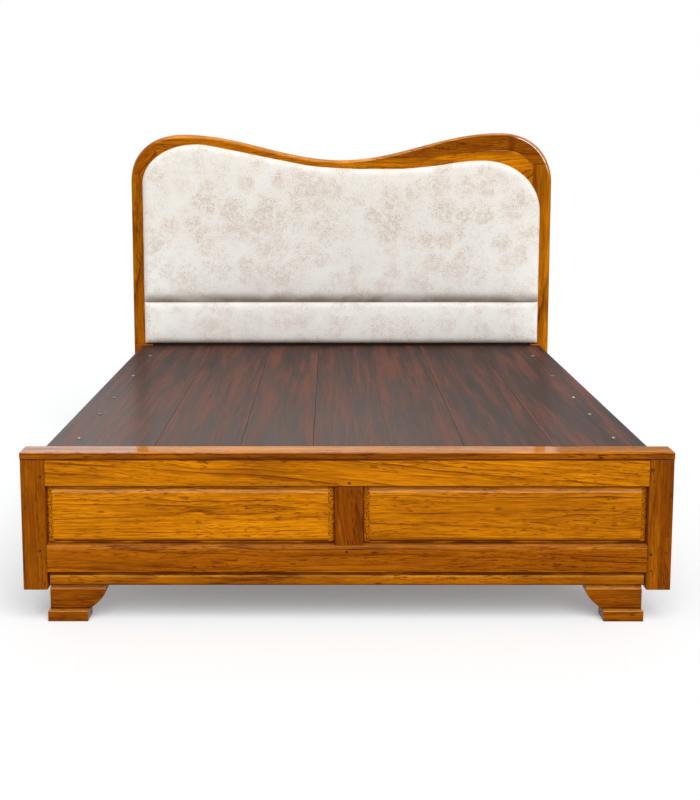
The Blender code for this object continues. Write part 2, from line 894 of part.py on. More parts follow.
def strip(name, outer, inner, rounds, material, group):
    """A flat frame member between two lines of equal count, its outer front edge rounded over."""
    rings = []
    for out, into, radius in zip(outer, inner, np.broadcast_to(rounds, len(outer))):
        width = np.hypot(*(into - out))
        across = (into - out) / width
        back = min(back_round, radius)
        profile = [(back, head_back), (0, head_back - back)]
        for degrees in (0, 30, 60, 90):
            angle = math.radians(degrees)
            setback = head_front + radius * (1 - math.sin(angle))
            profile.append((radius * (1 - math.cos(angle)), setback))
        profile += [(width, head_front), (width, head_back)]
        offsets, depths = np.array(profile).T
        places = out + offsets[:, None] * across
        rings.append(np.stack([places[:, 0], depths, places[:, 1]], axis=1))
    return add_mesh(name, *join_rings(rings), material, group)


def head_rails():
    """Name, lower and upper edge of each straight rail behind the pads."""
    return (
        ("middle", upper_pad_bottom - head_rail_height / 2, upper_pad_bottom + head_rail_height / 2),
        ("bottom", lower_pad_bottom + pad_roll - head_rail_height, lower_pad_bottom + pad_roll),
    )


def head_rail_tenon(bottom, top):
    """The section of a headboard rail's tenon, over y and z."""
    near = head_front + (headboard_thickness - back_panel_thickness - head_tenon_thickness) / 2
    return (near, bottom + head_tenon_shoulder), (near + head_tenon_thickness, top - head_tenon_shoulder)


def add_head_rails(materials, group):
    reach = head_post_inner - fit
    for name, bottom, top in head_rails():
        tenoned_bar(
            f"headboard_{name}_rail", "x", (-reach, reach), (head_front, bottom),
            (head_back - back_panel_thickness - fit, top), head_rail_tenon(bottom, top),
            (head_tenon_length,) * 2, materials["frame"], group,
        )


def add_head_posts(outline, materials, group):
    """Both headboard posts. Their outer edges follow the frame's line into its corners."""
    gap = fit / step_of(outline)
    count = 14
    straight_top = headboard_height - max(left_corner_drop + left_peak_drop, right_corner_drop)
    left_ends = (reach_at(outline, 1, straight_top), reach_at(outline, 1, left_joint) - gap)
    right_ends = (reach_from_end(outline, 1, right_joint) + gap, reach_from_end(outline, 1, straight_top))
    outers = {
        "left": np.concatenate([outline[:1], span(outline, *left_ends, count)]),
        "right": np.concatenate([span(outline, *right_ends, count), outline[-1:]]),
    }
    for side, sign in sides:
        outer = outers[side]
        inner = np.stack([np.full(len(outer), sign * head_post_inner), outer[:, 1]], axis=1)
        rounds = np.full(len(outer), post_round)
        turning = outer[:, 1] > straight_top
        rounds[turning] += (headboard_round - post_round) * np.linspace(0, 1, turning.sum())[::-sign]
        post = strip("headboard_post_" + side, outer, inner, rounds, materials["teak"], group)
        mouth = sign * (head_post_inner - cut_overrun)
        depth = (head_front - cut_overrun, head_front + side_tenon_length + fit)
        cutters = [side_tenon_cutter("post_" + side, sign, depth)]
        for name, bottom, top in head_rails():
            low, high = head_rail_tenon(bottom, top)
            cutters.append(
                box_cutter(
                    f"cut_head_{name}_{side}", (mouth, sign * (head_post_inner + head_tenon_length)),
                    grown((low[0], high[0])), grown((low[1], high[1])),
                )
            )
        cut_away(post, cutters)


def add_elbow(outline, hidden, materials, group):
    """The short curved piece at the top left, between the left post and the top rail."""
    gap = fit / step_of(outline)
    count = 16
    mitre = half_width - mitre_inset
    outer = span(outline, reach_at(outline, 1, left_joint), reach_at(outline, 0, -mitre) - gap, count)
    tip = point_at(hidden, reach_at(hidden, 0, mitre_lean - mitre) - gap)
    inner = np.linspace((-head_post_inner, left_joint), tip, count)
    strip("headboard_elbow_left", outer, inner, headboard_round, materials["teak"], group)


def top_rail_lines(outline, hidden):
    """The outer and inner line of the crest, from the left elbow over both peaks to the right post."""
    count = 96
    mitre = half_width - mitre_inset
    outer = span(outline, reach_at(outline, 0, -mitre), reach_from_end(outline, 1, right_joint), count)
    glue = glue_line(outline)
    ends = reach_at(hidden, 0, mitre_lean - mitre), reach_at(hidden, 0, glue[0, 0])
    inner = evenly(np.concatenate([span(hidden, *ends, 200)[:-1], glue]), count)
    return outer, inner


def tongue_line(hidden):
    """The joint under the inner rail's right end, from the pads' cover to the right post."""
    start = point_at(hidden, reach_at(hidden, 0, head_post_inner - tongue_reach))
    return start, (head_post_inner, right_joint - tongue_drop)


def add_inner_rail(hidden, under_top_rail, materials, group):
    """The lighter board under the top rail, which fills the right peak down to the pads."""
    outer = moved_inward(under_top_rail, fit)
    outer = outer[outer[:, 0] > half_width * top_rail_shares[0][0] + pad_overlap]
    outer[-1] = (head_post_inner - fit, right_joint - fit)
    start, stop = tongue_line(hidden)
    below = span(hidden, reach_at(hidden, 0, outer[0, 0]), reach_at(hidden, 0, start[0]), 100)
    inner = np.concatenate([below, np.linspace(start, (outer[-1, 0], stop[1]), 20)[1:]])
    inner = evenly(inner, len(outer))
    strip("headboard_inner_rail", outer, inner, hidden_edge, materials["teak"], group)


def add_corner_block(hidden, materials, group):
    """The small block in the top right corner, under the inner rail and beside the right post."""
    start, stop = tongue_line(hidden)
    begin_x = head_post_inner - block_reach
    end_z = right_joint - block_drop
    share = (begin_x - start[0]) / (stop[0] - start[0])
    corner = (head_post_inner - fit, stop[1] - fit)
    begin = (begin_x, start[1] + share * (stop[1] - start[1]) - fit)
    above = np.linspace(begin, corner, 8)
    beside = np.linspace(corner, (corner[0], end_z), 10)[1:]
    outer = np.concatenate([above, beside])
    first = reach_at(hidden, 0, begin_x)
    last = reach_from_end(hidden, 1, end_z)
    inner = span(hidden, first, last, len(outer))
    strip("headboard_corner_block", outer, inner, hidden_edge, materials["teak"], group)


def add_back_panel(hidden, materials, group):
    """Thin board set into the back of the frame, over the straight rails."""
    low = head_rails()[1][1]
    edge = moved_inward(hidden, back_panel_slack)
    ends = reach_at(edge, 1, low), reach_from_end(edge, 1, low)
    x, z = span(edge, *ends, 90).T
    depths = (head_back - back_panel_thickness, head_back)
    rings = [np.stack([x, np.full(len(x), depth), z], axis=1) for depth in depths]
    add_mesh("headboard_back_panel", *join_rings(rings), materials["ply"], group)


def distance_to(line, x, z):
    """The least distance from each place to the straight runs between the line's points."""
    start = line[:-1]
    run = line[1:] - start
    from_start = np.stack([x, z], axis=-1)[..., None, :] - start
    along = np.clip((from_start * run).sum(axis=-1) / (run * run).sum(axis=-1), 0, 1)
    away = from_start - along[..., None] * run
    return np.hypot(away[..., 0], away[..., 1]).min(axis=-1)


def quarter(distance, reach):
    """A quarter circle's rise, from nothing at the edge to 1 at the reach and beyond."""
    short = 1 - np.clip(distance / reach, 0, 1)
    return np.sqrt(1 - short**2)


def add_pad(name, top, bottom, crown, bottom_roll, rows, material, group):
    """An upholstered pad under the line top: rolled edges, a low crown and drawn-in sides."""
    rolls = np.array(roll_shares)
    x = np.repeat(top[:, :1], len(rolls) * 2 + rows, axis=1)
    low = bottom + bottom_roll * rolls
    high = top[:, 1:] - pad_roll * rolls[::-1]
    steps = np.linspace(0, 1, rows + 2)[1:-1]
    middle = low[-1] + (high[:, :1] - low[-1]) * steps
    z = np.concatenate([np.tile(low, (len(top), 1)), middle, high], axis=1)
    edge = np.concatenate([[(top[0, 0], bottom)], top, [(top[-1, 0], bottom)]])
    inset = distance_to(edge, x, z)
    full = quarter(inset, pad_roll) * quarter(z - bottom, bottom_roll)
    domed = pad_roll_share + (1 - pad_roll_share) * quarter(inset, pad_dome)
    y = pad_back - pad_wall - (crown - pad_wall) * full * domed
    columns, levels = x.shape
    points = np.stack([x, y, z], axis=2).reshape(-1, 3)
    grid = np.arange(columns * levels).reshape(columns, levels)
    corners = (grid[:-1, :-1], grid[1:, :-1], grid[1:, 1:], grid[:-1, 1:])
    faces = np.stack([corner.ravel() for corner in corners], axis=1).tolist()
    loop = np.concatenate([grid[:-1, 0], grid[-1, :-1], grid[:0:-1, -1], grid[0, :0:-1]])
    front = points[loop]
    flat = front[:, [0, 2]]
    along = np.roll(flat, -1, axis=0) - np.roll(flat, 1, axis=0)
    along /= np.hypot(*along.T)[:, None]
    inward = np.stack([-along[:, 1], along[:, 0]], axis=1)
    rings = [loop]
    for drawn, depth in ((pad_drawn_in / 3, pad_wall / 2), (pad_drawn_in, 0)):
        moved = flat + inward * drawn
        ring = np.stack([moved[:, 0], np.full(len(loop), pad_back - depth), moved[:, 1]], axis=1)
        rings.append(len(points) + np.arange(len(loop)))
        points = np.concatenate([points, ring])
    for near, far in zip(rings[:-1], rings[1:]):
        sides_of = (near, far, np.roll(far, -1), np.roll(near, -1))
        faces += np.stack(sides_of, axis=1).tolist()
    faces.append(rings[-1][::-1].tolist())
    return add_mesh(name, points, faces, material, group)


def add_pads(materials, group):
    add_pad(
        "upper_cushion", upper_pad_line(9, 22), upper_pad_bottom, upper_pad_crown,
        upper_pad_bottom_roll, 6, materials["fabric"], group,
    )
    near = pad_half_width - pad_roll * np.array(roll_shares)
    inner = near[-1] * np.linspace(-1, 1, 20)[1:-1]
    x = np.concatenate([-near, inner, near[::-1]])
    top = np.stack([x, np.full(len(x), lower_pad_top)], axis=1)
    add_pad(
        "lower_cushion", top, lower_pad_bottom, lower_pad_crown, pad_roll, 4, materials["fabric"], group
    )


def add_headboard(materials, group):
    outline = frame_line()
    hidden = hidden_line()
    add_head_posts(outline, materials, group)
    add_elbow(outline, hidden, materials, group)
    outer, inner = top_rail_lines(outline, hidden)
    strip("headboard_top_rail", outer, inner, headboard_round, materials["teak"], group)
    add_inner_rail(hidden, inner, materials, group)
    add_corner_block(hidden, materials, group)
    add_head_rails(materials, group)
    add_back_panel(hidden, materials, group)
    add_pads(materials, group)


def smooth_edges():
    """Shading that leaves flat faces flat and turns over their rounded edges."""
    for piece in bpy.data.objects:
        if piece.type == "MESH" and not piece.hide_render:
            weighted = piece.modifiers.new("weighted_normals", "WEIGHTED_NORMAL")
            weighted.keep_sharp = True


def main():
    clear_scene()
    materials = make_materials()
    add_footboard(materials, add_group("footboard", (0, foot_front, 0)))
    add_deck(materials, add_group("deck", (0, 0, deck_bottom)))
    add_headboard(materials, add_group("headboard", (0, head_front, 0)))
    smooth_edges()


main()
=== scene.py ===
import math

import bmesh
import bpy
import numpy as np
from mathutils import Matrix, Vector


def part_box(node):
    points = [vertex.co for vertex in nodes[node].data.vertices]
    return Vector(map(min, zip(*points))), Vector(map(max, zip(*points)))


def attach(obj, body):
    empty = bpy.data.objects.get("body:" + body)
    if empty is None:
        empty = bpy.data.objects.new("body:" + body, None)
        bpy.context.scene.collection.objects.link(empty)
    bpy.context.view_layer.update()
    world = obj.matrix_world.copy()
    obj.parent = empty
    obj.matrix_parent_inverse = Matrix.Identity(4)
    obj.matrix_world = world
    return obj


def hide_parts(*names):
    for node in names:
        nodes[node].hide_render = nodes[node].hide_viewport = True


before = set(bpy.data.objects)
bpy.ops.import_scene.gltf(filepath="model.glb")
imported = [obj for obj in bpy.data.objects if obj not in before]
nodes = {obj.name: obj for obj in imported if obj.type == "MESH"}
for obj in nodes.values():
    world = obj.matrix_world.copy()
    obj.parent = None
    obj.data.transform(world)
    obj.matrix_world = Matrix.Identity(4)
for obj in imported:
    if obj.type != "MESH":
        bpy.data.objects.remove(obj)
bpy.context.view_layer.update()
scene = bpy.context.scene


def boxOf(nodeName):
    return [list(corner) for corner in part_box(nodeName)]


def middleOf(box):
    return [(low + high) / 2 for low, high in zip(*box)]


def addObject(name, data):
    made = bpy.data.objects.new(name, data)
    scene.collection.objects.link(made)
    return made


def pointsOf(mesh):
    points = np.empty(len(mesh.vertices) * 3, np.float32)
    mesh.vertices.foreach_get("co", points)
    return points.reshape(-1, 3)


def movePoints(mesh, points):
    mesh.vertices.foreach_set("co", points.astype(np.float32).ravel())
    mesh.update()


def standFor(piece, nodeName):  # the piece rides on the bed and takes the CAD node's place
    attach(piece, "root")
    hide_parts(nodeName)


# Camera: low, in front of the foot end, a little left of the middle

cameraLook = {
    "place": (-0.0474, -4.5228, 1.3916),
    "pitch": -0.12306,
    "turn": 0.0008,
    "focal": 54.58,
    "sensor": 36,
    "shift": (0.0251, -0.125),
}


def addCamera():
    lens = bpy.data.cameras.new("camera")
    lens.sensor_width = cameraLook["sensor"]
    lens.lens = cameraLook["focal"]
    lens.shift_x, lens.shift_y = cameraLook["shift"]
    camera = addObject("camera", lens)
    camera.location = cameraLook["place"]
    camera.rotation_euler = (math.pi / 2 + cameraLook["pitch"], 0, cameraLook["turn"])
    scene.camera = camera


addCamera()
scene.view_settings.view_transform = "Standard"


# Shader nodes, each helper returning the socket that the next one takes. Steps are counted per metre
# along each axis. Four numbers for a smooth step are: from, to, value before, value after.

middleGrey = (0.5, 0.5, 0.5)


def feed(tree, socket, value):  # links another socket, or sets a plain value
    if isinstance(value, bpy.types.NodeSocket):
        tree.links.new(value, socket)
    else:
        socket.default_value = value


def addNode(tree, kind, inputs=None, **settings):  # inputs: socket name or number -> value or socket
    made = tree.nodes.new(kind)
    for name, value in settings.items():
        setattr(made, name, value)
    for socket, value in (inputs or {}).items():
        feed(tree, made.inputs[socket], value)
    return made


def calc(tree, operation, *values, clamp=False):
    inputs = dict(enumerate(values))
    return addNode(tree, "ShaderNodeMath", inputs, operation=operation, use_clamp=clamp).outputs[0]


def vectorCalc(tree, operation, *values):
    made = addNode(tree, "ShaderNodeVectorMath", dict(enumerate(values)), operation=operation)
    return made.outputs["Value" if operation == "LENGTH" else "Vector"]


def split(tree, vector):  # its x, y and z
    return list(addNode(tree, "ShaderNodeSeparateXYZ", {0: vector}).outputs)


def noise(tree, place, steps, detail=2.0, rough=0.5, colour=False):
    stretched = vectorCalc(tree, "MULTIPLY", place, steps)
    inputs = {"Vector": stretched, "Scale": 1.0, "Detail": detail, "Roughness": rough}
    return addNode(tree, "ShaderNodeTexNoise", inputs).outputs["Color" if colour else "Fac"]


def drifted(tree, place, source, by, *steps):  # the place pushed about by coloured noise read at the source
    push = vectorCalc(tree, "SUBTRACT", noise(tree, source, *steps, colour=True), middleGrey)
    return vectorCalc(tree, "ADD", place, vectorCalc(tree, "MULTIPLY", push, by))


def ease(tree, value, low, high, before=0.0, after=1.0):  # smooth step
    inputs = {"Value": value, "From Min": low, "From Max": high, "To Min": before, "To Max": after}
    return addNode(tree, "ShaderNodeMapRange", inputs, interpolation_type="SMOOTHSTEP").outputs[0]


def opaque(colour):
    return colour if isinstance(colour, bpy.types.NodeSocket) else (*colour, 1)


def blendColour(tree, share, first, second):  # a Mix node takes its colours at sockets 6 and 7
    inputs = {0: share, 6: opaque(first), 7: opaque(second)}
    return addNode(tree, "ShaderNodeMix", inputs, data_type="RGBA").outputs[2]


def ramp(tree, value, stops):  # stops: (place, colour)
    made = addNode(tree, "ShaderNodeValToRGB", {"Fac": value})
    steps = made.color_ramp.elements
    while len(steps) < len(stops):
        steps.new(0.5)
    for step, (place, colour) in zip(steps, stops):
        step.position = place
        step.color = opaque(colour)
    return made.outputs["Color"]


def newMaterial(name, finish):  # finish: the shader's own sockets
    material = bpy.data.materials.new(name)
    material.use_nodes = True
    tree = material.node_tree
    shader = tree.nodes["Principled BSDF"]
    for socket, value in finish.items():
        shader.inputs[socket].default_value = value
    return material, tree, shader


def addRelief(tree, shader, height, strength, depth):
    bump = addNode(tree, "ShaderNodeBump", {"Height": height, "Strength": strength, "Distance": depth})
    tree.links.new(bump.outputs[0], shader.inputs["Normal"])


def objectPlace(tree):
    return tree.nodes.new("ShaderNodeTexCoord").outputs["Object"]


def paint(piece, material):
    piece.data.materials.clear()
    piece.data.materials.append(material)


# Where on a piece: x from the bed's middle line, y towards the headboard, z from the floor

def placeParts(tree):
    return dict(zip("xyz", split(tree, objectPlace(tree))))


def faceParts(tree):  # also how far the face looks up, and how far it turns away from the foot end
    _, back, up = split(tree, tree.nodes.new("ShaderNodeNewGeometry").outputs["Normal"])
    return {**placeParts(tree), "up": up, "away": calc(tree, "ADD", back, 1.0)}


def reading(tree, parts, box, axis, side=None):  # the part itself, or how far in from the box's named side
    if side is None:
        return parts[axis]
    number = "xyz".index(axis)
    if side == "low":
        return calc(tree, "SUBTRACT", parts[axis], box[0][number])
    return calc(tree, "SUBTRACT", box[1][number], parts[axis])


def sideBand(tree, box, bands):  # 1 near the named sides up to the first distance, gone at the second
    parts = placeParts(tree)
    most = 0.0
    for axis, side, full, gone in bands:
        away = reading(tree, parts, box, axis, side)
        most = calc(tree, "MAXIMUM", most, ease(tree, away, full, gone, 1.0, 0.0))
    return most


def bothSides(axis, full, gone):
    return tuple((axis, side, full, gone) for side in ("low", "high"))


def within(tree, box, limits):  # product of smooth steps, each row: part, a side or none, start, full
    parts = faceParts(tree)
    share = 1.0
    for *where, start, full in limits:
        share = calc(tree, "MULTIPLY", share, ease(tree, reading(tree, parts, box, *where), start, full))
    return share


# Timber: a log's growth rings, bent by noise, cut by the board's own faces. Places are along the grain,
# across the face, into the face. Pith: its place across and into the face, and its lean.

woodLook = {
    "pith": (0.02, 0.09, 0.03), "spacing": 0.011,
    "bends": (((0.0, 0.05, 0.05), (1.1, 5.0, 5.0)), ((0.0, 0.011, 0.011), (7.0, 24.0, 24.0))),  # by, steps
    "lineRises": (0.6, 0.92), "lineFalls": (0.93, 1.0, 1.0, 0.0), "faintest": 0.1,
    "linePatches": (4.0, 30.0, 30.0), "lineBreaks": (0.32, 0.6, 0.12, 1.0), "bandRises": (0.1, 0.9),
    "fibre": ((12.0, 215.0, 215.0), 3.0, 0.6), "clouds": ((1.8, 10.0, 10.0), 3.0, 0.6),
    "dashes": ((34.0, 300.0, 300.0), 1.0), "dashEdge": (0.57, 0.67),
    "dashPatches": (4.0, 22.0, 22.0), "dashCrowding": (0.38, 0.62, 0.15, 1.0),
    "start": 0.37, "lineBy": 0.5,
    "bandBy": (0.25, 0.2), "fibreBy": (0.5, 1.4), "cloudsBy": (0.5, 1.15),  # middle, by
}
grainTurns = {  # rows: along the grain, across the face, into the face
    "x": Matrix(((1, 0, 0), (0, 0, 1), (0, -1, 0))),
    "y": Matrix(((0, 1, 0), (1, 0, 0), (0, 0, -1))),
    "z": Matrix(((0, 0, 1), (1, 0, 0), (0, 1, 0))),
}


def addSocket(group, name, kind, way="INPUT"):
    return group.interface.new_socket(name=name, in_out=way, socket_type="NodeSocket" + kind)


def ringDistance(tree, place, pith):  # distance from the pith's line, which leans away along the grain
    along, across, deep = split(tree, place)
    pithAcross, pithDeep, lean = split(tree, pith)
    fromAcross = calc(tree, "SUBTRACT", across, pithAcross)
    fromDeep = calc(tree, "SUBTRACT", deep, calc(tree, "MULTIPLY_ADD", along, lean, pithDeep))
    squares = calc(tree, "MULTIPLY_ADD", fromAcross, fromAcross, calc(tree, "MULTIPLY", fromDeep, fromDeep))
    return calc(tree, "SQRT", squares)


def makeFigure():  # figure: 0 pale earlywood to 1 dark ring. Pores: 0 to 1.
    look = woodLook
    group = bpy.data.node_groups.new("timberFigure", "ShaderNodeTree")
    for name, kind in (("Place", "Vector"), ("Pith", "Vector"), ("Spacing", "Float"), ("Seed", "Vector")):
        addSocket(group, name, kind)
    for name in ("Figure", "Pores"):
        addSocket(group, name, "Float", "OUTPUT")
    start = group.nodes.new("NodeGroupInput").outputs
    seeded = vectorCalc(group, "ADD", start["Place"], start["Seed"])
    bent = start["Place"]
    for by, steps in look["bends"]:
        bent = drifted(group, bent, seeded, by, steps)
    rings = calc(group, "DIVIDE", ringDistance(group, bent, start["Pith"]), start["Spacing"])
    number = calc(group, "FLOOR", rings)
    phase = calc(group, "FRACT", rings)
    random = addNode(group, "ShaderNodeTexWhiteNoise", {"W": number}, noise_dimensions="1D")
    strength = random.outputs["Value"]
    line = ease(group, phase, *look["lineRises"])
    line = calc(group, "MULTIPLY", line, ease(group, phase, *look["lineFalls"]))
    darkness = calc(group, "MULTIPLY", strength, strength)
    darkness = calc(group, "MULTIPLY_ADD", darkness, 1 - look["faintest"], look["faintest"])
    line = calc(group, "MULTIPLY", line, darkness)
    breaks = ease(group, noise(group, seeded, look["linePatches"]), *look["lineBreaks"])
    line = calc(group, "MULTIPLY", line, breaks)
    band = calc(group, "MULTIPLY", ease(group, phase, *look["bandRises"]), strength)
    fibre = noise(group, seeded, *look["fibre"])
    clouds = noise(group, seeded, *look["clouds"])
    dashes = ease(group, noise(group, seeded, *look["dashes"]), *look["dashEdge"])
    crowded = ease(group, noise(group, seeded, look["dashPatches"]), *look["dashCrowding"])
    pores = calc(group, "MULTIPLY", dashes, calc(group, "MAXIMUM", crowded, line))
    figure = calc(group, "MULTIPLY_ADD", line, look["lineBy"], look["start"])
    for part, name in ((band, "bandBy"), (fibre, "fibreBy"), (clouds, "cloudsBy")):
        middle, by = look[name]
        figure = calc(group, "MULTIPLY_ADD", calc(group, "SUBTRACT", part, middle), by, figure)
    figure = calc(group, "ADD", figure, 0.0, clamp=True)
    end = group.nodes.new("NodeGroupOutput")
    for name, value in (("Figure", figure), ("Pores", pores)):
        group.links.new(value, end.inputs[name])
    return group


timberFigure = makeFigure()


def addFigure(tree, place, pith, spacing, seed):
    inputs = {"Place": place, "Pith": pith, "Spacing": spacing, "Seed": seed}
    return addNode(tree, "ShaderNodeGroup", inputs, node_tree=timberFigure).outputs


def boardPlace(tree, grain, box, lean=0.0):  # Object coordinates turned so that x runs along the grain
    turn = Matrix.Rotation(lean, 3, "Z") @ grainTurns[grain]
    middle = turn @ Vector(middleOf(box))
    inputs = {"Vector": objectPlace(tree), "Rotation": turn.to_euler(), "Location": -middle}
    return addNode(tree, "ShaderNodeMapping", inputs).outputs[0]


# A knot pushes the grain aside: across += pull * away * e ^ (fade * distance ^ 2), with the distance
# counted in the knot's size across the grain and in stretch times its size along it.

knotLook = {
    "stretch": 3.2, "fade": -0.6, "pull": -0.75, "wobble": (50.0, 130.0, 130.0), "wobbleBy": 1.1,
    "dark": (0.12, 0.42, 1.0, 0.0), "darkBy": 0.62,
}


def withKnots(tree, place, knots):  # knots: along and across from the board's middle, size
    darkness = 0.0
    for along, across, size in knots:
        away = vectorCalc(tree, "SUBTRACT", place, (along, across, 0.0))
        flat = vectorCalc(tree, "MULTIPLY", away, (1 / (size * knotLook["stretch"]), 1 / size, 0.0))
        distance = vectorCalc(tree, "LENGTH", flat)
        squared = calc(tree, "MULTIPLY", distance, distance)
        near = calc(tree, "POWER", math.e, calc(tree, "MULTIPLY", squared, knotLook["fade"]))
        wobble = calc(tree, "SUBTRACT", noise(tree, place, knotLook["wobble"]), 0.5)
        distance = calc(tree, "MULTIPLY_ADD", wobble, knotLook["wobbleBy"], distance)
        sideways = vectorCalc(tree, "MULTIPLY", away, (0.0, 1.0, 0.0))
        pull = {0: sideways, "Scale": calc(tree, "MULTIPLY", near, knotLook["pull"])}
        push = addNode(tree, "ShaderNodeVectorMath", pull, operation="SCALE").outputs[0]
        place = vectorCalc(tree, "ADD", place, push)
        darkness = calc(tree, "ADD", darkness, ease(tree, distance, *knotLook["dark"]))
    return place, darkness


# Varnished teak. The varnish shines where it faces up or is seen along its face, less where it is rubbed.

varnishLook = {
    "finish": {"Roughness": 0.34, "Specular IOR Level": 0.03, "Coat Roughness": 0.06},
    "gloss": 0.5, "glossUp": (0.2, 0.6), "glossAlong": (0.35, 0.85),
    "midAt": 0.4, "poresBy": 0.8,
    "endDots": (330.0, 330.0, 330.0), "endStops": (0.3, 0.43, 0.52, 0.6),
    "jointShadePatches": (9.0, 40.0, 40.0), "jointShadeUneven": (0.3, 0.6, 0.55, 0.95),
    "poreDepth": -0.5, "waves": (30.0, 55.0, 55.0), "relief": 0.35, "reliefDepth": 0.0006,
}
toneSpread = {"pale": (1.48, 1.62, 1.5), "dark": (0.38, 0.3, 0.8), "pore": (0.22, 0.155, 0.6)}
# tones differ from board to board; the bottom rail and the feet take darker ones partly as painted shade
tones = {
    "honey": (0.525, 0.163, 0.0012),
    "syrup": (0.455, 0.137, 0.0011),
    "amber": (0.39, 0.113, 0.001),
    "ginger": (0.325, 0.083, 0.0009),
    "brown": (0.275, 0.069, 0.0008),
    "cocoa": (0.235, 0.057, 0.0008),
    "umber": (0.225, 0.05, 0.0007),
}


def shades(tone):
    return [tuple(a * b for a, b in zip(tones[tone], spread)) for spread in toneSpread.values()]


def glossOf(tree, board):
    parts = faceParts(tree)
    facing = tree.nodes.new("ShaderNodeLayerWeight").outputs["Facing"]
    seenUp = ease(tree, parts["up"], *varnishLook["glossUp"])
    gloss = calc(tree, "MAXIMUM", seenUp, ease(tree, facing, *varnishLook["glossAlong"]))
    gloss = calc(tree, "MULTIPLY", gloss, board.get("gloss", varnishLook["gloss"]))
    if board.get("rubbed"):
        axis, start, full, left = board["rubbed"]
        gloss = calc(tree, "MULTIPLY", gloss, ease(tree, parts[axis], start, full, 1.0, left))
    return gloss


def teak(name, box, board):
    look = varnishLook
    material, tree, shader = newMaterial(name + "_teak", look["finish"])
    place = boardPlace(tree, board["grain"], box, board.get("lean", 0.0))
    place, knotDark = withKnots(tree, place, board.get("knots", ()))
    pith = board.get("pith", woodLook["pith"])
    figure = addFigure(tree, place, pith, board.get("spacing", woodLook["spacing"]), board["seed"])
    mid = tones[board["tone"]]
    pale, dark, pore = shades(board["tone"])
    colour = ramp(tree, figure["Figure"], ((0.0, pale), (look["midAt"], mid), (1.0, dark)))
    colour = blendColour(tree, calc(tree, "MULTIPLY", figure["Pores"], look["poresBy"]), colour, pore)
    if board.get("knots"):
        knotDark = calc(tree, "MULTIPLY", knotDark, knotLook["darkBy"], clamp=True)
        colour = blendColour(tree, knotDark, colour, pore)
    for *limits, tint in board.get("fades", ()):
        tinted = vectorCalc(tree, "MULTIPLY", colour, tint)
        colour = blendColour(tree, within(tree, box, limits), colour, tinted)
    # end grain specks, their pale dots painted glints of the varnish
    if board.get("endGrainAndGlints"):
        dots = noise(tree, objectPlace(tree), look["endDots"])
        ends = ramp(tree, dots, tuple(zip(look["endStops"], (pore, dark, mid, pale))))
        colour = blendColour(tree, sideBand(tree, box, board["endGrainAndGlints"]), colour, ends)
    # stain rows: dark joint lines, deepened with painted shade where one part overhangs another
    if board.get("stain"):
        uneven = ease(tree, noise(tree, place, look["jointShadePatches"]), *look["jointShadeUneven"])
        stain = calc(tree, "MULTIPLY", sideBand(tree, box, board["stain"]), uneven)
        colour = blendColour(tree, stain, colour, pore)
    tree.links.new(colour, shader.inputs["Base Color"])
    tree.links.new(glossOf(tree, board), shader.inputs["Coat Weight"])
    height = calc(tree, "MULTIPLY", figure["Pores"], look["poreDepth"])
    height = calc(tree, "ADD", height, noise(tree, place, look["waves"]))
    addRelief(tree, shader, height, look["relief"], look["reliefDepth"])
    return material


# Boards: each solid's own triangles, joined into one skin with its rounded edges shaded. Points that
# agree to so many decimals of a metre are one.

skinLook = {"decimals": 6, "flat": math.radians(0.3), "sharp": math.radians(40)}


def smoothSkin(nodeName):
    source = nodes[nodeName].data
    points = pointsOf(source)
    corners = np.empty(len(source.loops), np.int32)
    source.loops.foreach_get("vertex_index", corners)
    rounded = np.round(points, skinLook["decimals"])
    _, first, same = np.unique(rounded, axis=0, return_index=True, return_inverse=True)
    faces = same.reshape(-1)[corners].reshape(-1, 3)
    mesh = bpy.data.meshes.new(nodeName + "_skin")
    mesh.from_pydata(points[first].tolist(), [], faces.tolist())
    skin = bmesh.new()
    skin.from_mesh(mesh)
    bmesh.ops.dissolve_limit(skin, angle_limit=skinLook["flat"], verts=skin.verts, edges=skin.edges)
    skin.to_mesh(mesh)
    skin.free()
    mesh.shade_smooth()
    mesh.set_sharp_from_angle(angle=skinLook["sharp"])
    piece = addObject(nodeName + "_board", mesh)
    weighted = piece.modifiers.new("shading", "WEIGHTED_NORMAL")
    weighted.keep_sharp = True
    standFor(piece, nodeName)
    return piece


# Rows of stain and end grain: axis, side, full up to, gone at. Stain rows darken joint lines and add
# painted shade where one part overhangs another. Rows of fades: where it starts and is full, from a named
# side or as it is, then the tint; some fades are painted highlights and painted shade. Knots: along and
# across from the middle, size.

# the panel darkens at its edges: dark joint lines with painted shade under the rails and beside the posts
panelJointShade = (("z", "low", 0.0165, 0.0185), ("z", "high", 0.0128, 0.0155), *bothSides("x", 0.0115, 0.016))
# the panel's end grain, speckled with painted glints
panelEnds = bothSides("x", 0.0275, 0.0295)
# painted highlight on the upward slope, a painted shade line at the field's lower edge, painted light on
# the lower bevel
panelLightAndShade = (
    (("up", 0.1, 0.35), (1.3, 1.45, 6.0)),
    (("z", "low", 0.0165, 0.0175), ("z", "low", 0.0232, 0.022), (0.3, 0.25, 0.5)),
    (("z", "low", 0.0115, 0.0125), ("z", "low", 0.017, 0.016), (2.3, 2.8, 20.0)),
)
crestShade = (  # the right crest darkens upward, from a level that rises with the crest
    (("x", 0.08, 0.2), ("x", 0.47, 0.38), ("z", 1.342, 1.362), (0.56, 0.46, 0.7)),
    (("x", 0.38, 0.47), ("x", 0.8, 0.76), ("z", 1.358, 1.383), (0.56, 0.46, 0.7)),
)
crestHighlightLine = (("away", 0.006, 0.02), ("away", 0.085, 0.05))  # painted highlight: a thin pale line where the rounded edge starts
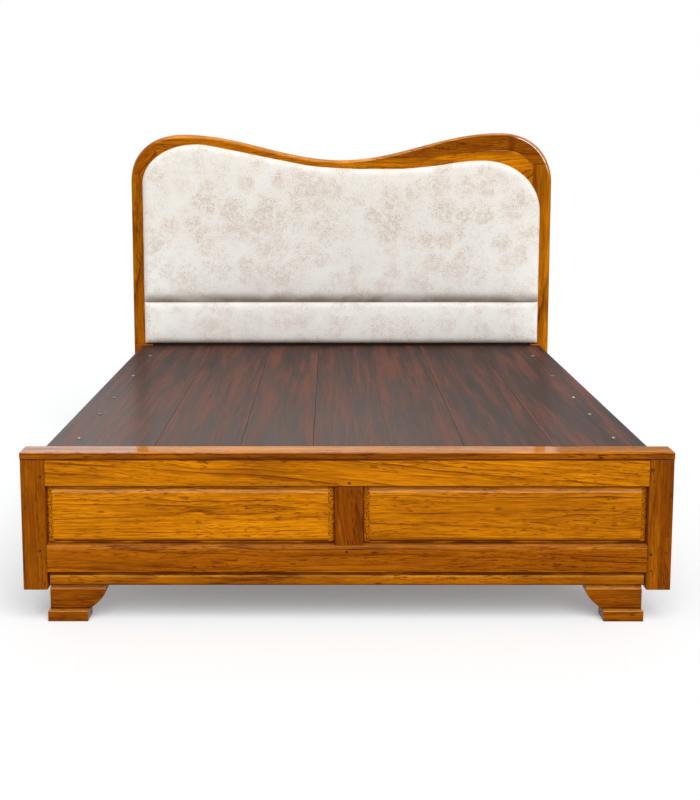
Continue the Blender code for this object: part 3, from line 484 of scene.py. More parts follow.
# painted reflection: the cap's top face is lighter, less so at its right end, in white streaks at its left
# end
capTopSheen = ("z", "high", 0.0045, 0.0005)
capLeft = ("x", -0.6, -0.64)
# painted highlights on the upward faces of the feet's chamfers and of the pads' tops
footChamferHighlight = (("up", 0.15, 0.5), (3.5, 5.2, 75.0))
soleTopHighlight = (("up", 0.3, 0.7), (1.7, 2.5, 18.0))
# dark joint lines with painted shade at the foot's bottom over its pad and the post's top under the cap;
# painted contact shadow at the pad's bottom
footJointShade = (("z", "low", 0.002, 0.008),)
soleContactShade = (("z", "low", 0.0005, 0.006),)
postJointShade = (("z", "high", 0.001, 0.004),)
boards = {
    "footboard_cap": {
        "grain": "x", "tone": "brown", "seed": (1.1, 0.4, 2.0), "spacing": 0.02, "gloss": 0.66,
        "rubbed": ("x", 0.6, 0.64, 0.0), "stain": (("z", "low", 0.001, 0.0035),),
        "fades": (
            # painted reflection on the top face: lighter, less at the right end, streaked at the left end
            (capTopSheen, (2.2, 2.7, 3.6)),
            (capTopSheen, ("x", 0.6, 0.625), (0.74, 0.73, 0.5)),
            (capTopSheen, capLeft, (0.92, 1.26, 36.0)),
            (capTopSheen, capLeft, ("y", "low", 0.033, 0.039), ("y", "low", 0.052, 0.046), (0.7, 0.62, 0.4)),
            (("z", "high", 0.0085, 0.0065), ("z", "high", 0.0025, 0.004), (0.75, 0.68, 0.9)),
        ),
    },
    "footboard_top_rail": {
        "grain": "x", "tone": "honey", "seed": (2.7, 0.9, 5.0), "spacing": 0.014, "lean": 0.06,
        "pith": (-0.05, 0.06, 0.035), "knots": ((-0.42, 0.01, 0.018),),
        "stain": (("z", "low", 0.0015, 0.005), ("z", "high", 0.002, 0.006)),
    },
    "footboard_bottom_rail": {
        "grain": "x", "tone": "ginger", "seed": (7.2, 1.9, 3.0), "spacing": 0.014,
        "pith": (0.05, 0.05, -0.03), "knots": ((-0.38, -0.012, 0.02), (0.62, -0.02, 0.012)),
        "stain": (("z", "low", 0.0, 0.002),),
        # painted highlight along the rounded top edge
        "fades": ((("z", "high", 0.0135, 0.0095), (1.25, 1.55, 14.0)),),
    },
    "footboard_panel_left": {
        "grain": "x", "tone": "honey", "seed": (4.2, 3.1, 1.0), "spacing": 0.01,
        "pith": (0.02, 0.035, 0.025),
        "knots": ((-0.02, 0.055, 0.012), (-0.26, 0.012, 0.007), (-0.13, 0.03, 0.006), (0.02, -0.02, 0.01)),
        "stain": panelJointShade, "endGrainAndGlints": panelEnds, "fades": panelLightAndShade,
    },
    "footboard_panel_right": {
        "grain": "x", "tone": "syrup", "seed": (9.4, 2.2, 7.0), "spacing": 0.01,
        "pith": (-0.01, 0.04, -0.028),
        "knots": ((-0.02, 0.02, 0.012), (0.3, 0.05, 0.01), (0.32, -0.03, 0.008), (-0.28, 0.015, 0.007)),
        "stain": panelJointShade, "endGrainAndGlints": panelEnds, "fades": panelLightAndShade,
    },
    "footboard_muntin": {
        "grain": "z", "tone": "umber", "seed": (3.3, 6.1, 4.0), "spacing": 0.012, "lean": 0.12,
        "fades": ((("x", "low", 0.016, 0.002), (0.8, 0.75, 1.0)),),
    },
    "footboard_post_left": {
        "grain": "z", "tone": "brown", "seed": (5.7, 1.4, 6.0), "spacing": 0.014, "stain": postJointShade,
    },
    "footboard_post_right": {
        "grain": "z", "tone": "brown", "seed": (8.1, 4.4, 9.0), "spacing": 0.012, "stain": postJointShade,
        "fades": ((("x", "high", 0.0415, 0.0295), (0.76, 0.7, 0.8)),),
    },
    "footboard_base_moulding": {
        "grain": "x", "tone": "amber", "seed": (6.6, 5.2, 2.5), "spacing": 0.016,
        # painted shadow under the bottom rail at the top, a painted highlight line on the rounded top edge,
        # painted shade darker towards the bottom
        "stain": (("z", "low", 0.0025, 0.0065), ("z", "high", 0.0088, 0.0108)),
        "fades": (
            (("z", "low", 0.0315, 0.0095), (0.86, 0.83, 1.0)),
            (("z", "low", 0.0245, 0.0265), ("z", "low", 0.0315, 0.03), (1.25, 1.55, 18.0)),
        ),
    },
    "front_foot_left": {
        "grain": "x", "tone": "cocoa", "seed": (1.9, 7.7, 3.5), "stain": footJointShade, "fades": (footChamferHighlight,),
    },
    "front_foot_right": {
        "grain": "x", "tone": "brown", "seed": (2.2, 8.3, 4.5), "stain": footJointShade, "fades": (footChamferHighlight,),
    },
    "front_foot_pad_left": {
        "grain": "x", "tone": "brown", "seed": (3.8, 9.1, 5.5), "stain": soleContactShade, "fades": (soleTopHighlight,),
    },
    "front_foot_pad_right": {
        "grain": "x", "tone": "brown", "seed": (4.9, 0.3, 6.5), "stain": soleContactShade, "fades": (soleTopHighlight,),
    },
    "headboard_post_left": {
        "grain": "z", "tone": "amber", "seed": (6.1, 2.8, 7.5), "spacing": 0.017,
        # painted shade along the inner edge beside the cushion
        "fades": ((("x", "high", 0.029, 0.006), (0.5, 0.42, 0.6)),),
    },
    "headboard_post_right": {
        "grain": "z", "tone": "amber", "seed": (7.7, 3.9, 8.5), "spacing": 0.017,
        "fades": (
            # painted shade along the inner edge beside the cushion, painted light on the rounded outer
            # edge, a painted highlight line near the top
            (("x", "low", 0.029, 0.004), (0.6, 0.52, 0.6)),
            (("x", "high", 0.0325, 0.0175), (1.25, 1.3, 1.0)),
            (("x", "low", 0.029, 0.039), ("z", 1.27, 1.33), *crestHighlightLine, (1.8, 5.5, 600.0)),
        ),
    },
    "headboard_elbow_left": {"grain": "x", "tone": "ginger", "seed": (8.8, 4.7, 9.5), "lean": -0.9},
    "headboard_top_rail": {
        "grain": "x", "tone": "honey", "seed": (9.9, 5.8, 0.5), "spacing": 0.016, "gloss": 0.55,
        "knots": (
            (0.233, -0.011, 0.014), (0.408, 0.03, 0.016), (-0.346, -0.018, 0.01), (-0.44, 0.011, 0.01),
        ),
        "fades": (
            *crestShade,
            (("x", 0.745, 0.775), (0.52, 0.42, 0.6)),
            (("x", 0.05, -0.1), (0.76, 0.7, 0.8)),
            # painted highlights on the upward-facing rounded edge, and a painted highlight line at the
            # right corner
            (("up", 0.02, 0.3), ("x", 0.2, 0.0), (1.45, 1.65, 7.0)),
            (("up", 0.02, 0.3), ("x", 0.0, 0.2), (1.85, 2.4, 16.0)),
            (("x", 0.78, 0.83), *crestHighlightLine, (2.2, 7.0, 130.0)),
        ),
    },
    "headboard_inner_rail": {
        "grain": "x", "tone": "honey", "seed": (0.7, 6.9, 1.5), "lean": -0.1, "gloss": 0.1,
        "fades": crestShade,
    },
    "headboard_corner_block": {
        "grain": "x", "tone": "syrup", "seed": (1.3, 7.1, 2.8), "lean": -0.6, "gloss": 0.1,
    },
    "rail_block_left": {"grain": "z", "tone": "brown", "seed": (2.4, 8.2, 3.8)},
    "rail_block_right": {"grain": "z", "tone": "brown", "seed": (3.5, 9.3, 4.8)},
}
for nodeName, board in boards.items():
    paint(smoothSkin(nodeName), teak(nodeName, boxOf(nodeName), board))
print("varnished boards:", len(boards))


# Hidden frame and back: plain sawn timber and plywood, the side rails stained like the posts, the
# headboard's bottom rail near black as painted shade in the gap under the cushion

plainLook = {
    "finish": {"Roughness": 0.75, "Specular IOR Level": 0.25},
    "pith": (0.03, 0.05, 0.02), "spacing": 0.012, "seedSteps": (1.7, 2.9, 0.6), "midAt": 0.45,
    "sawn": (180.0, 900.0, 900.0), "relief": 0.5, "reliefDepth": 0.0005,
}
plainTones = {
    "frame": ((0.42, 0.27, 0.14), (0.32, 0.19, 0.09), (0.19, 0.1, 0.045)),
    "side": ((0.4, 0.125, 0.006), (0.28, 0.075, 0.002), (0.13, 0.03, 0.001)),
    "plywood": ((0.56, 0.4, 0.22), (0.47, 0.32, 0.17), (0.33, 0.2, 0.1)),
    # painted shade: near black for the headboard's bottom rail, seen through the gap under the cushion
    "dark": ((0.05, 0.03, 0.018), (0.03, 0.018, 0.011), (0.012, 0.008, 0.005)),
}
plainGrain = {  # how the name starts: grain, tones
    "side_rail": ("y", "side"), "cross_bearer": ("x", "frame"), "centre_beam": ("y", "frame"),
    "centre_leg": ("z", "frame"), "headboard_middle": ("x", "frame"), "headboard_bottom": ("x", "dark"),
    "headboard_back": ("z", "plywood"),
}


def plainTimber(name, box, grain, kind, seed):
    look = plainLook
    material, tree, shader = newMaterial(name + "_timber", look["finish"])
    place = boardPlace(tree, grain, box)
    figure = addFigure(tree, place, look["pith"], look["spacing"], seed)
    pale, mid, dark = plainTones[kind]
    colour = ramp(tree, figure["Figure"], ((0.0, pale), (look["midAt"], mid), (1.0, dark)))
    tree.links.new(colour, shader.inputs["Base Color"])
    addRelief(tree, shader, noise(tree, place, look["sawn"]), look["relief"], look["reliefDepth"])
    return material


plainCount = 0
for nodeName in sorted(nodes):
    for start, (grain, kind) in plainGrain.items():
        if nodeName.startswith(start):
            seed = tuple(step * plainCount for step in plainLook["seedSteps"])
            paint(nodes[nodeName], plainTimber(nodeName, boxOf(nodeName), grain, kind, seed))
            plainCount += 1
print("plain timber:", plainCount)


# Joint pins: end grain, paler in the middle and dark at the rim

pinLook = {
    "finish": {"Roughness": 0.5, "Specular IOR Level": 0.05}, "specks": (700.0, 700.0, 700.0),
    "rings": ((0.05, (0.4, 0.34, 0.3)), (0.36, (0.05, 0.035, 0.03)), (0.55, (0.003, 0.002, 0.001))),
}


def pinMaterial(name, box):
    material, tree, shader = newMaterial(name + "_end", pinLook["finish"])
    place = objectPlace(tree)
    away = vectorCalc(tree, "SUBTRACT", place, middleOf(box))
    away = vectorCalc(tree, "MULTIPLY", away, (1.0, 0.0, 1.0))
    radius = (box[1][0] - box[0][0]) / 2
    rim = calc(tree, "DIVIDE", vectorCalc(tree, "LENGTH", away), radius)
    speck = calc(tree, "SUBTRACT", noise(tree, place, pinLook["specks"]), 0.5)
    colour = ramp(tree, calc(tree, "ADD", rim, speck), pinLook["rings"])
    tree.links.new(colour, shader.inputs["Base Color"])
    return material


for nodeName in nodes:
    if nodeName.startswith("joint_pin"):
        paint(nodes[nodeName], pinMaterial(nodeName, boxOf(nodeName)))


# Deck boards: red-brown stain gone dark grey in patches, worn along the seams

deckLook = {
    "finish": {"Roughness": 0.5, "Specular IOR Level": 0.08, "Coat Roughness": 0.27},
    "seedSteps": (1.9, 0.8, 2.3),
    "streaks": ((1.3, 24.0, 24.0), 5.0, 0.62), "streaksBy": 0.9,
    "fine": ((5.0, 150.0, 150.0), 3.0, 0.6), "fineBy": 0.4,
    "broad": (0.9, 4.5, 4.5), "broadBy": 0.35,
    "stain": ((0.67, (0.024, 0.012, 0.0088)), (0.8, (0.051, 0.019, 0.012)), (0.94, (0.122, 0.033, 0.0165))),
    "grey": (0.6, (0.032, 0.024, 0.0225)), "tick": (0.6, (0.02, 0.013, 0.012)),  # most, colour
    "worn": (0.35, (0.16, 0.065, 0.035)), "gap": (0.2, (0.012, 0.008, 0.007)),
    "greyPatches": ((1.6, 9.0, 9.0), 3.0), "greyEdge": (0.48, 0.7),
    "ticks": ((30.0, 300.0, 300.0), 1.0), "tickEdge": (0.66, 0.74),
    "wornPatches": ((6.0, 6.0, 6.0), 3.0), "wornEdge": (0.45, 0.62), "wornReach": (0.0, 0.009),
    "gapReach": (0.0004, 0.0016),
    "glossAlong": (-1.0, 0.9, 0.38, 0.03), "glossAcross": (0.0, 0.9, 1.0, 0.18),
    "glossStreaks": (0.3, 0.7, 1.2, 0.75), "relief": 0.4, "reliefDepth": 0.0006,
}


def deckMaterial(name, box, seed):
    look = deckLook
    material, tree, shader = newMaterial(name + "_stain", look["finish"])
    place = vectorCalc(tree, "ADD", boardPlace(tree, "y", box), seed)
    streak = noise(tree, place, *look["streaks"])
    fine = noise(tree, place, *look["fine"])
    mottle = calc(tree, "MULTIPLY", noise(tree, place, look["broad"]), look["broadBy"])
    mottle = calc(tree, "MULTIPLY_ADD", streak, look["streaksBy"], mottle)
    mottle = calc(tree, "MULTIPLY_ADD", fine, look["fineBy"], mottle)
    colour = ramp(tree, mottle, look["stain"])
    grey = ease(tree, noise(tree, place, *look["greyPatches"]), *look["greyEdge"])
    tick = ease(tree, noise(tree, place, *look["ticks"]), *look["tickEdge"])
    worn = ease(tree, noise(tree, place, *look["wornPatches"]), *look["wornEdge"])
    worn = calc(tree, "MULTIPLY", sideBand(tree, box, bothSides("x", *look["wornReach"])), worn)
    gap = sideBand(tree, box, bothSides("x", *look["gapReach"]))
    for part, name in ((grey, "grey"), (tick, "tick"), (worn, "worn"), (gap, "gap")):
        most, shade = look[name]
        colour = blendColour(tree, calc(tree, "MULTIPLY", part, most), colour, shade)
    tree.links.new(colour, shader.inputs["Base Color"])
    parts = placeParts(tree)
    gloss = ease(tree, parts["y"], *look["glossAlong"])
    gloss = calc(tree, "MULTIPLY", gloss, ease(tree, parts["x"], *look["glossAcross"]))
    gloss = calc(tree, "MULTIPLY", gloss, ease(tree, streak, *look["glossStreaks"]))
    tree.links.new(gloss, shader.inputs["Coat Weight"])
    addRelief(tree, shader, fine, look["relief"], look["reliefDepth"])
    return material


deckNames = sorted(name for name in nodes if name.startswith("deck_board"))
for number, nodeName in enumerate(deckNames, start=1):
    seed = tuple(step * number for step in deckLook["seedSteps"])
    paint(smoothSkin(nodeName), deckMaterial(nodeName, boxOf(nodeName), seed))
print("deck boards:", len(deckNames))


# Deck screws: domed heads with a cross recess. A ring's radius = its share of the cross's own edge at
# that angle + the radius of a circle. A dome's height = dome * (1 - share of the head's radius ^ power).

screwLook = {
    "head": 0.0075, "dome": 0.004, "domePower": 2.4, "domeFall": 0.93, "brim": 0.0003,
    "domeShares": (0.62, 0.78, 0.9, 0.97, 1.0), "sharp": math.radians(35),
    "arm": 0.0036, "slot": 0.0008, "recess": 0.0022, "crossRim": 0.9,
    "crossRings": ((0.35, 1.0), (0.8, 0.85)),  # share of the cross, share of the recess's depth
    "shank": 0.0025, "tip": 0.3, "down": 0.045, "seat": 0.0003, "turnSeed": 7,
    "finish": {"Metallic": 1.0}, "tarnish": ((260.0, 260.0, 260.0), 3.0), "polish": (0.3, 0.7, 0.2, 0.42),
    "plating": ((0.35, (0.62, 0.55, 0.4)), (0.5, (0.3, 0.23, 0.14)), (0.65, (0.06, 0.04, 0.025))),
}


def fanFaces(ring, hub):  # closes a ring of points with triangles to one point inside it
    return np.stack([ring, np.roll(ring, -1), np.full(len(ring), hub)], axis=1).tolist()


def crossEdge(angle, arm, slot):  # distance from the middle of a plus sign to its edge
    near = np.maximum(np.abs(np.cos(angle)), 1e-6), np.maximum(np.abs(np.sin(angle)), 1e-6)
    return np.maximum(np.minimum(arm / near[0], slot / near[1]), np.minimum(arm / near[1], slot / near[0]))


def screwRings(seat, end):  # share of the cross, radius of the circle, height
    look = screwLook
    top = seat + look["dome"]
    rings = [(share, 0.0, top - look["recess"] * depth) for share, depth in look["crossRings"]]
    rings.append((1.0, 0.0, seat + look["dome"] * look["crossRim"]))
    for share in look["domeShares"]:
        rise = look["dome"] * (1 - share ** look["domePower"]) * look["domeFall"] + look["brim"]
        rings.append((0.0, look["head"] * share, seat + rise))
    rings.append((0.0, look["head"], seat))
    rings.append((0.0, look["shank"], seat))
    rings.append((0.0, look["shank"], end + look["shank"]))
    rings.append((0.0, look["shank"] * look["tip"], end))
    return [np.array(row)[:, None] for row in zip(*rings)]


def screwMesh(name, centre, turn):
    look = screwLook
    corner = math.atan2(look["slot"], look["arm"])
    quarterTurn = np.array([-corner, 0.0, corner, math.pi / 8, math.pi / 4, math.pi * 3 / 8])
    angle = (quarterTurn[None, :] + np.arange(4)[:, None] * math.pi / 2).ravel()
    shares, radii, heights = screwRings(centre[2] + look["seat"], centre[2] - look["down"])
    radius = crossEdge(angle, look["arm"], look["slot"])[None, :] * shares + radii
    x = centre[0] + radius * np.cos(angle + turn)
    y = centre[1] + radius * np.sin(angle + turn)
    points = np.stack([x, y, np.broadcast_to(heights, x.shape)], axis=2).reshape(-1, 3)
    hub = len(points)
    grid = np.arange(hub).reshape(-1, len(angle))
    points = np.concatenate([points, [(*centre[:2], heights[0, 0]), (*centre[:2], heights[-1, 0])]])
    after = np.roll(grid, -1, axis=1)
    sides = np.stack([grid[:-1], grid[1:], after[1:], after[:-1]], axis=2).reshape(-1, 4)
    faces = sides.tolist() + fanFaces(grid[0], hub) + fanFaces(grid[-1][::-1], hub + 1)
    mesh = bpy.data.meshes.new(name)
    mesh.from_pydata(points.tolist(), [], faces)
    mesh.shade_smooth()
    mesh.set_sharp_from_angle(angle=look["sharp"])
    return addObject(name, mesh)


def screwMaterial():
    material, tree, shader = newMaterial("screw_plated", screwLook["finish"])
    tarnish = noise(tree, objectPlace(tree), *screwLook["tarnish"])
    tree.links.new(ramp(tree, tarnish, screwLook["plating"]), shader.inputs["Base Color"])
    tree.links.new(ease(tree, tarnish, *screwLook["polish"]), shader.inputs["Roughness"])
    return material


screwPlating = screwMaterial()
screwNames = sorted(name for name in nodes if name.startswith("deck_screw"))
screwTurns = np.random.default_rng(screwLook["turnSeed"]).uniform(0, math.pi / 2, len(screwNames))
for nodeName, turn in zip(screwNames, screwTurns):
    box = boxOf(nodeName)
    across, along, _ = middleOf(box)
    piece = screwMesh(nodeName + "_cross", (across, along, box[0][2] + screwLook["down"]), turn)
    paint(piece, screwPlating)
    standFor(piece, nodeName)
print("deck screws:", len(screwNames))


# Pads: a crowned face under a line, rolled edges, walls drawn in to a flat back. Depth of the
# face = wall + (crown - wall) * quarter circle of the distance from the edge * a lower dome.

upperLow, upperHigh = boxOf("upper_cushion")
lowerLow, lowerHigh = boxOf("lower_cushion")
padLook = {
    "halfWidth": upperHigh[0], "back": upperHigh[1], "wall": 0.009, "drawnIn": 0.003,
    "wallSteps": ((0.2, 0.75), (0.45, 0.5), (0.75, 0.25), (1.0, 0.0)),  # share drawn in, share of wall left
    "roll": 0.026, "rollShare": 0.8, "dome": 0.14, "step": 0.0125, "batches": 24,
    "edgeSteps": (0.0, 0.0008, 0.0022, 0.0045, 0.008, 0.0125, 0.0185, 0.026),
}
upperLook = {
    "bottom": upperLow[2], "crown": upperHigh[1] - upperLow[1], "bottomRoll": 0.055, "swell": 0.006,
    "seed": 11, "paintedShade": 0.76,
    "leftPeak": (-0.6555, upperHigh[2]), "rightPeak": (0.6406, upperHigh[2] - 0.073),
    "leftDrop": 0.18, "rightDrop": 0.235, "power": 2.05, "fall": 0.1105,
    "between": (  # between the peaks: share of the half width, share of the fall
        (-0.592, 0.165), (-0.424, 0.44), (-0.257, 0.72), (-0.145, 0.88), (0.042, 0.985), (0.18, 1.0),
        (0.321, 0.983), (0.489, 0.848), (0.6, 0.714),
    ),
}
lowerLook = {
    "bottom": lowerLow[2], "top": lowerHigh[2], "crown": lowerHigh[1] - lowerLow[1], "bottomRoll": 0.026,
    "swell": 0.0025, "seed": 12, "paintedShade": 0.15,
}


def cornerHeight(across, peak, reach, drop, power):  # a quarter of a superellipse beside a level peak
    share = np.clip(np.abs(across - peak[0]) / reach, 0, 1)
    return peak[1] - drop + drop * (1 - share**power) ** (1 / power)


def upperTop(across):  # cubic through the named points between the peaks, superellipse corners outside them
    look, halfWidth = upperLook, padLook["halfWidth"]
    leftPeak, rightPeak, power = look["leftPeak"], look["rightPeak"], look["power"]
    between = [(halfWidth * a, leftPeak[1] - look["fall"] * down) for a, down in look["between"]]
    x, z = np.array([leftPeak, *between, rightPeak]).T
    slopes = np.concatenate([[0], (z[2:] - z[:-2]) / (x[2:] - x[:-2]), [0]])
    part = np.clip(np.searchsorted(x, across) - 1, 0, len(x) - 2)
    width = x[part + 1] - x[part]
    t = np.clip((across - x[part]) / width, 0, 1)
    middle = (2 * t**3 - 3 * t**2 + 1) * z[part] + (3 * t**2 - 2 * t**3) * z[part + 1]
    middle += width * ((t**3 - 2 * t**2 + t) * slopes[part] + (t**3 - t**2) * slopes[part + 1])
    left = cornerHeight(across, leftPeak, halfWidth + leftPeak[0], look["leftDrop"], power)
    right = cornerHeight(across, rightPeak, halfWidth - rightPeak[0], look["rightDrop"], power)
    return np.where(across < x[0], left, np.where(across > x[-1], right, middle))


def lowerTop(across):
    return np.full(len(across), lowerLook["top"])


def quarterCircle(distance, reach):
    return np.sqrt(1 - (1 - np.clip(distance / reach, 0, 1)) ** 2)


def fromLine(line, x, z):  # least distance to the line's straight runs, worked out in batches of points
    start, run = line[:-1], np.diff(line, axis=0)
    lengths = (run * run).sum(axis=1)
    points = np.stack([x.ravel(), z.ravel()], axis=1)
    nearest = []
    for batch in np.array_split(points, padLook["batches"]):
        away = batch[:, None, :] - start
        share = np.clip((away * run).sum(axis=2) / lengths, 0, 1)
        gap = away - share[..., None] * run
        nearest.append(np.hypot(gap[..., 0], gap[..., 1]).min(axis=1))
    return np.concatenate(nearest).reshape(x.shape)


def padGrid(topOf, look):  # x and z of the face: columns across, rows up, both closer near the edge
    halfWidth = padLook["halfWidth"]
    edge = np.array(padLook["edgeSteps"])
    inner = halfWidth - edge[-1]
    columns = np.linspace(-inner, inner, int(2 * inner / padLook["step"]))
    x = np.concatenate([-halfWidth + edge[:-1], columns, (halfWidth - edge[:-1])[::-1]])
    top = topOf(x)
    lowRows = look["bottom"] + edge / edge[-1] * look["bottomRoll"]
    rows = int((top.max() - look["bottom"]) / padLook["step"])
    share = np.linspace(0, 1, rows)[1:-1]
    lowEnd, highEnd = lowRows[-1], top[:, None] - edge[-1]
    z = [np.tile(lowRows, (len(x), 1)), lowEnd + (highEnd - lowEnd) * share, top[:, None] - edge[::-1]]
    z = np.concatenate(z, axis=1)
    return np.repeat(x[:, None], z.shape[1], axis=1), z, top


def addWalls(points, loop):  # rings behind the face's edge, each drawn further in, the last one on the back
    flat = points[loop][:, [0, 2]]
    along = np.roll(flat, -1, axis=0) - np.roll(flat, 1, axis=0)
    along /= np.hypot(*along.T)[:, None]
    inward = np.stack([-along[:, 1], along[:, 0]], axis=1)
    ring, walls = loop, []
    for drawn, left in padLook["wallSteps"]:
        moved = flat + inward * drawn * padLook["drawnIn"]
        depth = np.full(len(loop), padLook["back"] - padLook["wall"] * left)
        nextRing = len(points) + np.arange(len(loop))
        points = np.concatenate([points, np.stack([moved[:, 0], depth, moved[:, 1]], axis=1)])
        walls.append(np.stack([ring, nextRing, np.roll(nextRing, -1), np.roll(ring, -1)], axis=1))
        ring = nextRing
    return points, walls, ring


def padMesh(name, topOf, look):
    halfWidth, bottom = padLook["halfWidth"], look["bottom"]
    x, z, top = padGrid(topOf, look)
    line = [[(-halfWidth, bottom)], np.stack([x[:, 0], top], axis=1), [(halfWidth, bottom)]]
    inset = fromLine(np.concatenate(line), x, z)
    full = quarterCircle(inset, padLook["roll"]) * quarterCircle(z - bottom, look["bottomRoll"])
    domed = padLook["rollShare"] + (1 - padLook["rollShare"]) * quarterCircle(inset, padLook["dome"])
    y = padLook["back"] - padLook["wall"] - (look["crown"] - padLook["wall"]) * full * domed
    points = np.stack([x, y, z], axis=2).reshape(-1, 3)
    grid = np.arange(len(points)).reshape(x.shape)
    face = np.stack([grid[:-1, :-1], grid[1:, :-1], grid[1:, 1:], grid[:-1, 1:]], axis=2).reshape(-1, 4)
    loop = np.concatenate([grid[:-1, 0], grid[-1, :-1], grid[:0:-1, -1], grid[0, :0:-1]])
    points, walls, ring = addWalls(points, loop)
    faces = np.concatenate([face, *walls]).tolist() + fanFaces(ring[::-1], len(points))
    points = np.concatenate([points, [(0.0, padLook["back"], (bottom + top.min()) / 2)]])
    mesh = bpy.data.meshes.new(name)
    mesh.from_pydata(points.tolist(), [], faces)
    mesh.shade_smooth()
    return addObject(name, mesh), inset.ravel()


# Swelling: cloth under pressure, held at its rolled edge, all movement scaled so that the most is swell

swellLook = {"pressure": 4.0, "frames": 20, "quality": 4, "held": 0.004, "freed": 0.02}


def inflate(piece, inset, swell):
    look = swellLook
    before = pointsOf(piece.data)
    held = np.ones(len(before))
    held[: len(inset)] = 1 - np.clip((inset - look["held"]) / look["freed"], 0, 1)
    held = np.round(held, 1)
    hold = piece.vertex_groups.new(name="hold")
    for weight in np.unique(held):
        hold.add(np.flatnonzero(held == weight).tolist(), float(weight), "REPLACE")
    cloth = piece.modifiers.new("cloth", "CLOTH")
    cloth.settings.use_pressure = True
    cloth.settings.uniform_pressure_force = look["pressure"]
    cloth.settings.effector_weights.gravity = 0
    cloth.settings.vertex_group_mass = hold.name
    cloth.settings.quality = look["quality"]
    cloth.point_cache.frame_start = 1
    cloth.point_cache.frame_end = look["frames"]
    for moment in range(1, look["frames"] + 1):
        scene.frame_set(moment)
    shaped = piece.evaluated_get(bpy.context.evaluated_depsgraph_get())
    move = pointsOf(shaped.data) - before
    most = float(np.linalg.norm(move, axis=1).max())
    move *= swell / max(most, swell)
    piece.modifiers.remove(cloth)
    scene.frame_set(1)
    movePoints(piece.data, before + move)
    print(piece.name, "swelled by up to", round(most * 1000, 1), "mm before scaling")


# Tension: soft hollows where the cover is pulled to its back, strongest at a set distance from the edge.
# Depth = sum of sines across, swaying with height, * bell of the distance; and one broad slow wave.

tensionLook = {
    "lengths": (0.21, 0.13, 0.083, 0.052), "pull": 0.0035, "sway": 1.3, "swayTurns": 9, "reach": 0.022,
    "broad": 0.0012, "broadAcross": (5.1, 0.7), "broadUp": (7.3, 1.1), "broadFrom": 0.1,
}


def tension(piece, inset, seed):
    look = tensionLook
    points = pointsOf(piece.data).astype(float)
    x, z = points[: len(inset), 0], points[: len(inset), 2]
    random = np.random.default_rng(seed)
    pull = np.zeros(len(inset))
    for length in look["lengths"]:
        turn = random.uniform(0, 2 * math.pi, 2)
        sway = look["sway"] * np.sin(z * look["swayTurns"] + turn[1])
        pull += length * np.sin(x * 2 * math.pi / length + turn[0] + sway)
    near = np.exp(-((inset - look["reach"]) / look["reach"]) ** 2)
    (across, acrossStart), (up, upStart) = look["broadAcross"], look["broadUp"]
    broad = look["broad"] * np.sin(x * across + acrossStart) * np.sin(z * up + upStart)
    points[: len(inset), 1] += pull * look["pull"] * near + broad * np.clip(inset / look["broadFrom"], 0, 1)
    movePoints(piece.data, points)


# Cover: off-white cloth, its mottle made of fine dots that crowd into soft patches, with painted shade
# along the bottom roll and the left edge and painted light on the lower cushion

clothLook = {
    "finish": {"Roughness": 0.85, "Specular IOR Level": 0.15, "Sheen Weight": 0.12, "Sheen Roughness": 0.5},
    "ground": (0.94, 0.908, 0.845), "litGroundLow": (1.0, 0.985, 0.94), "litGroundHeights": (1.3, 0.65),
    "wash": (0.78, 0.635, 0.505), "dots": (0.5, 0.34, 0.235),
    "washBy": (0.65, 1.15, 0.19, 0.3), "dotsBy": (0.65, 1.15, 0.34, 0.48),  # stronger higher up
    "drift": ((22.0, 22.0, 22.0), 3.0, 0.6), "driftBy": (0.055, 0.055, 0.055),
    "patches": ((8.5, 0.2, 0.92), (12.0, 0.2, 0.95)),  # cells per metre, full up to, gone at
    "unlike": 0.95, "patchStrengths": (0.0, 0.9, 0.4, 1.0),
    "ragged": (38.0, 38.0, 38.0), "raggedEdge": (0.3, 0.65, 0.55, 1.1),
    "specks": ((215.0, 215.0, 215.0), 1.0, 0.6), "crowdBy": 0.24, "speckEdge": (0.63, 0.82),
    "paintedShade": (0.27, 0.178, 0.105), "paintedShadeReach": 0.055, "paintedShadeSide": (-0.9, -0.865, 0.16, 0.0),
    "paintedShadePatches": (8.0, 8.0, 8.0), "paintedShadeUneven": (0.38, 0.6, 0.5, 1.0),
    "threads": 3900.0, "relief": 0.3, "reliefDepth": 0.0003,
}


def patches(tree, place, size, near, far):  # a soft round patch in each cell, each with its own strength
    cells = {"Vector": place, "Scale": size, "Randomness": clothLook["unlike"]}
    cells = addNode(tree, "ShaderNodeTexVoronoi", cells).outputs
    strength = addNode(tree, "ShaderNodeSeparateColor", {0: cells["Color"]}).outputs[0]
    soft = ease(tree, cells["Distance"], near, far, 1.0, 0.0)
    return calc(tree, "MULTIPLY", soft, ease(tree, strength, *clothLook["patchStrengths"]))


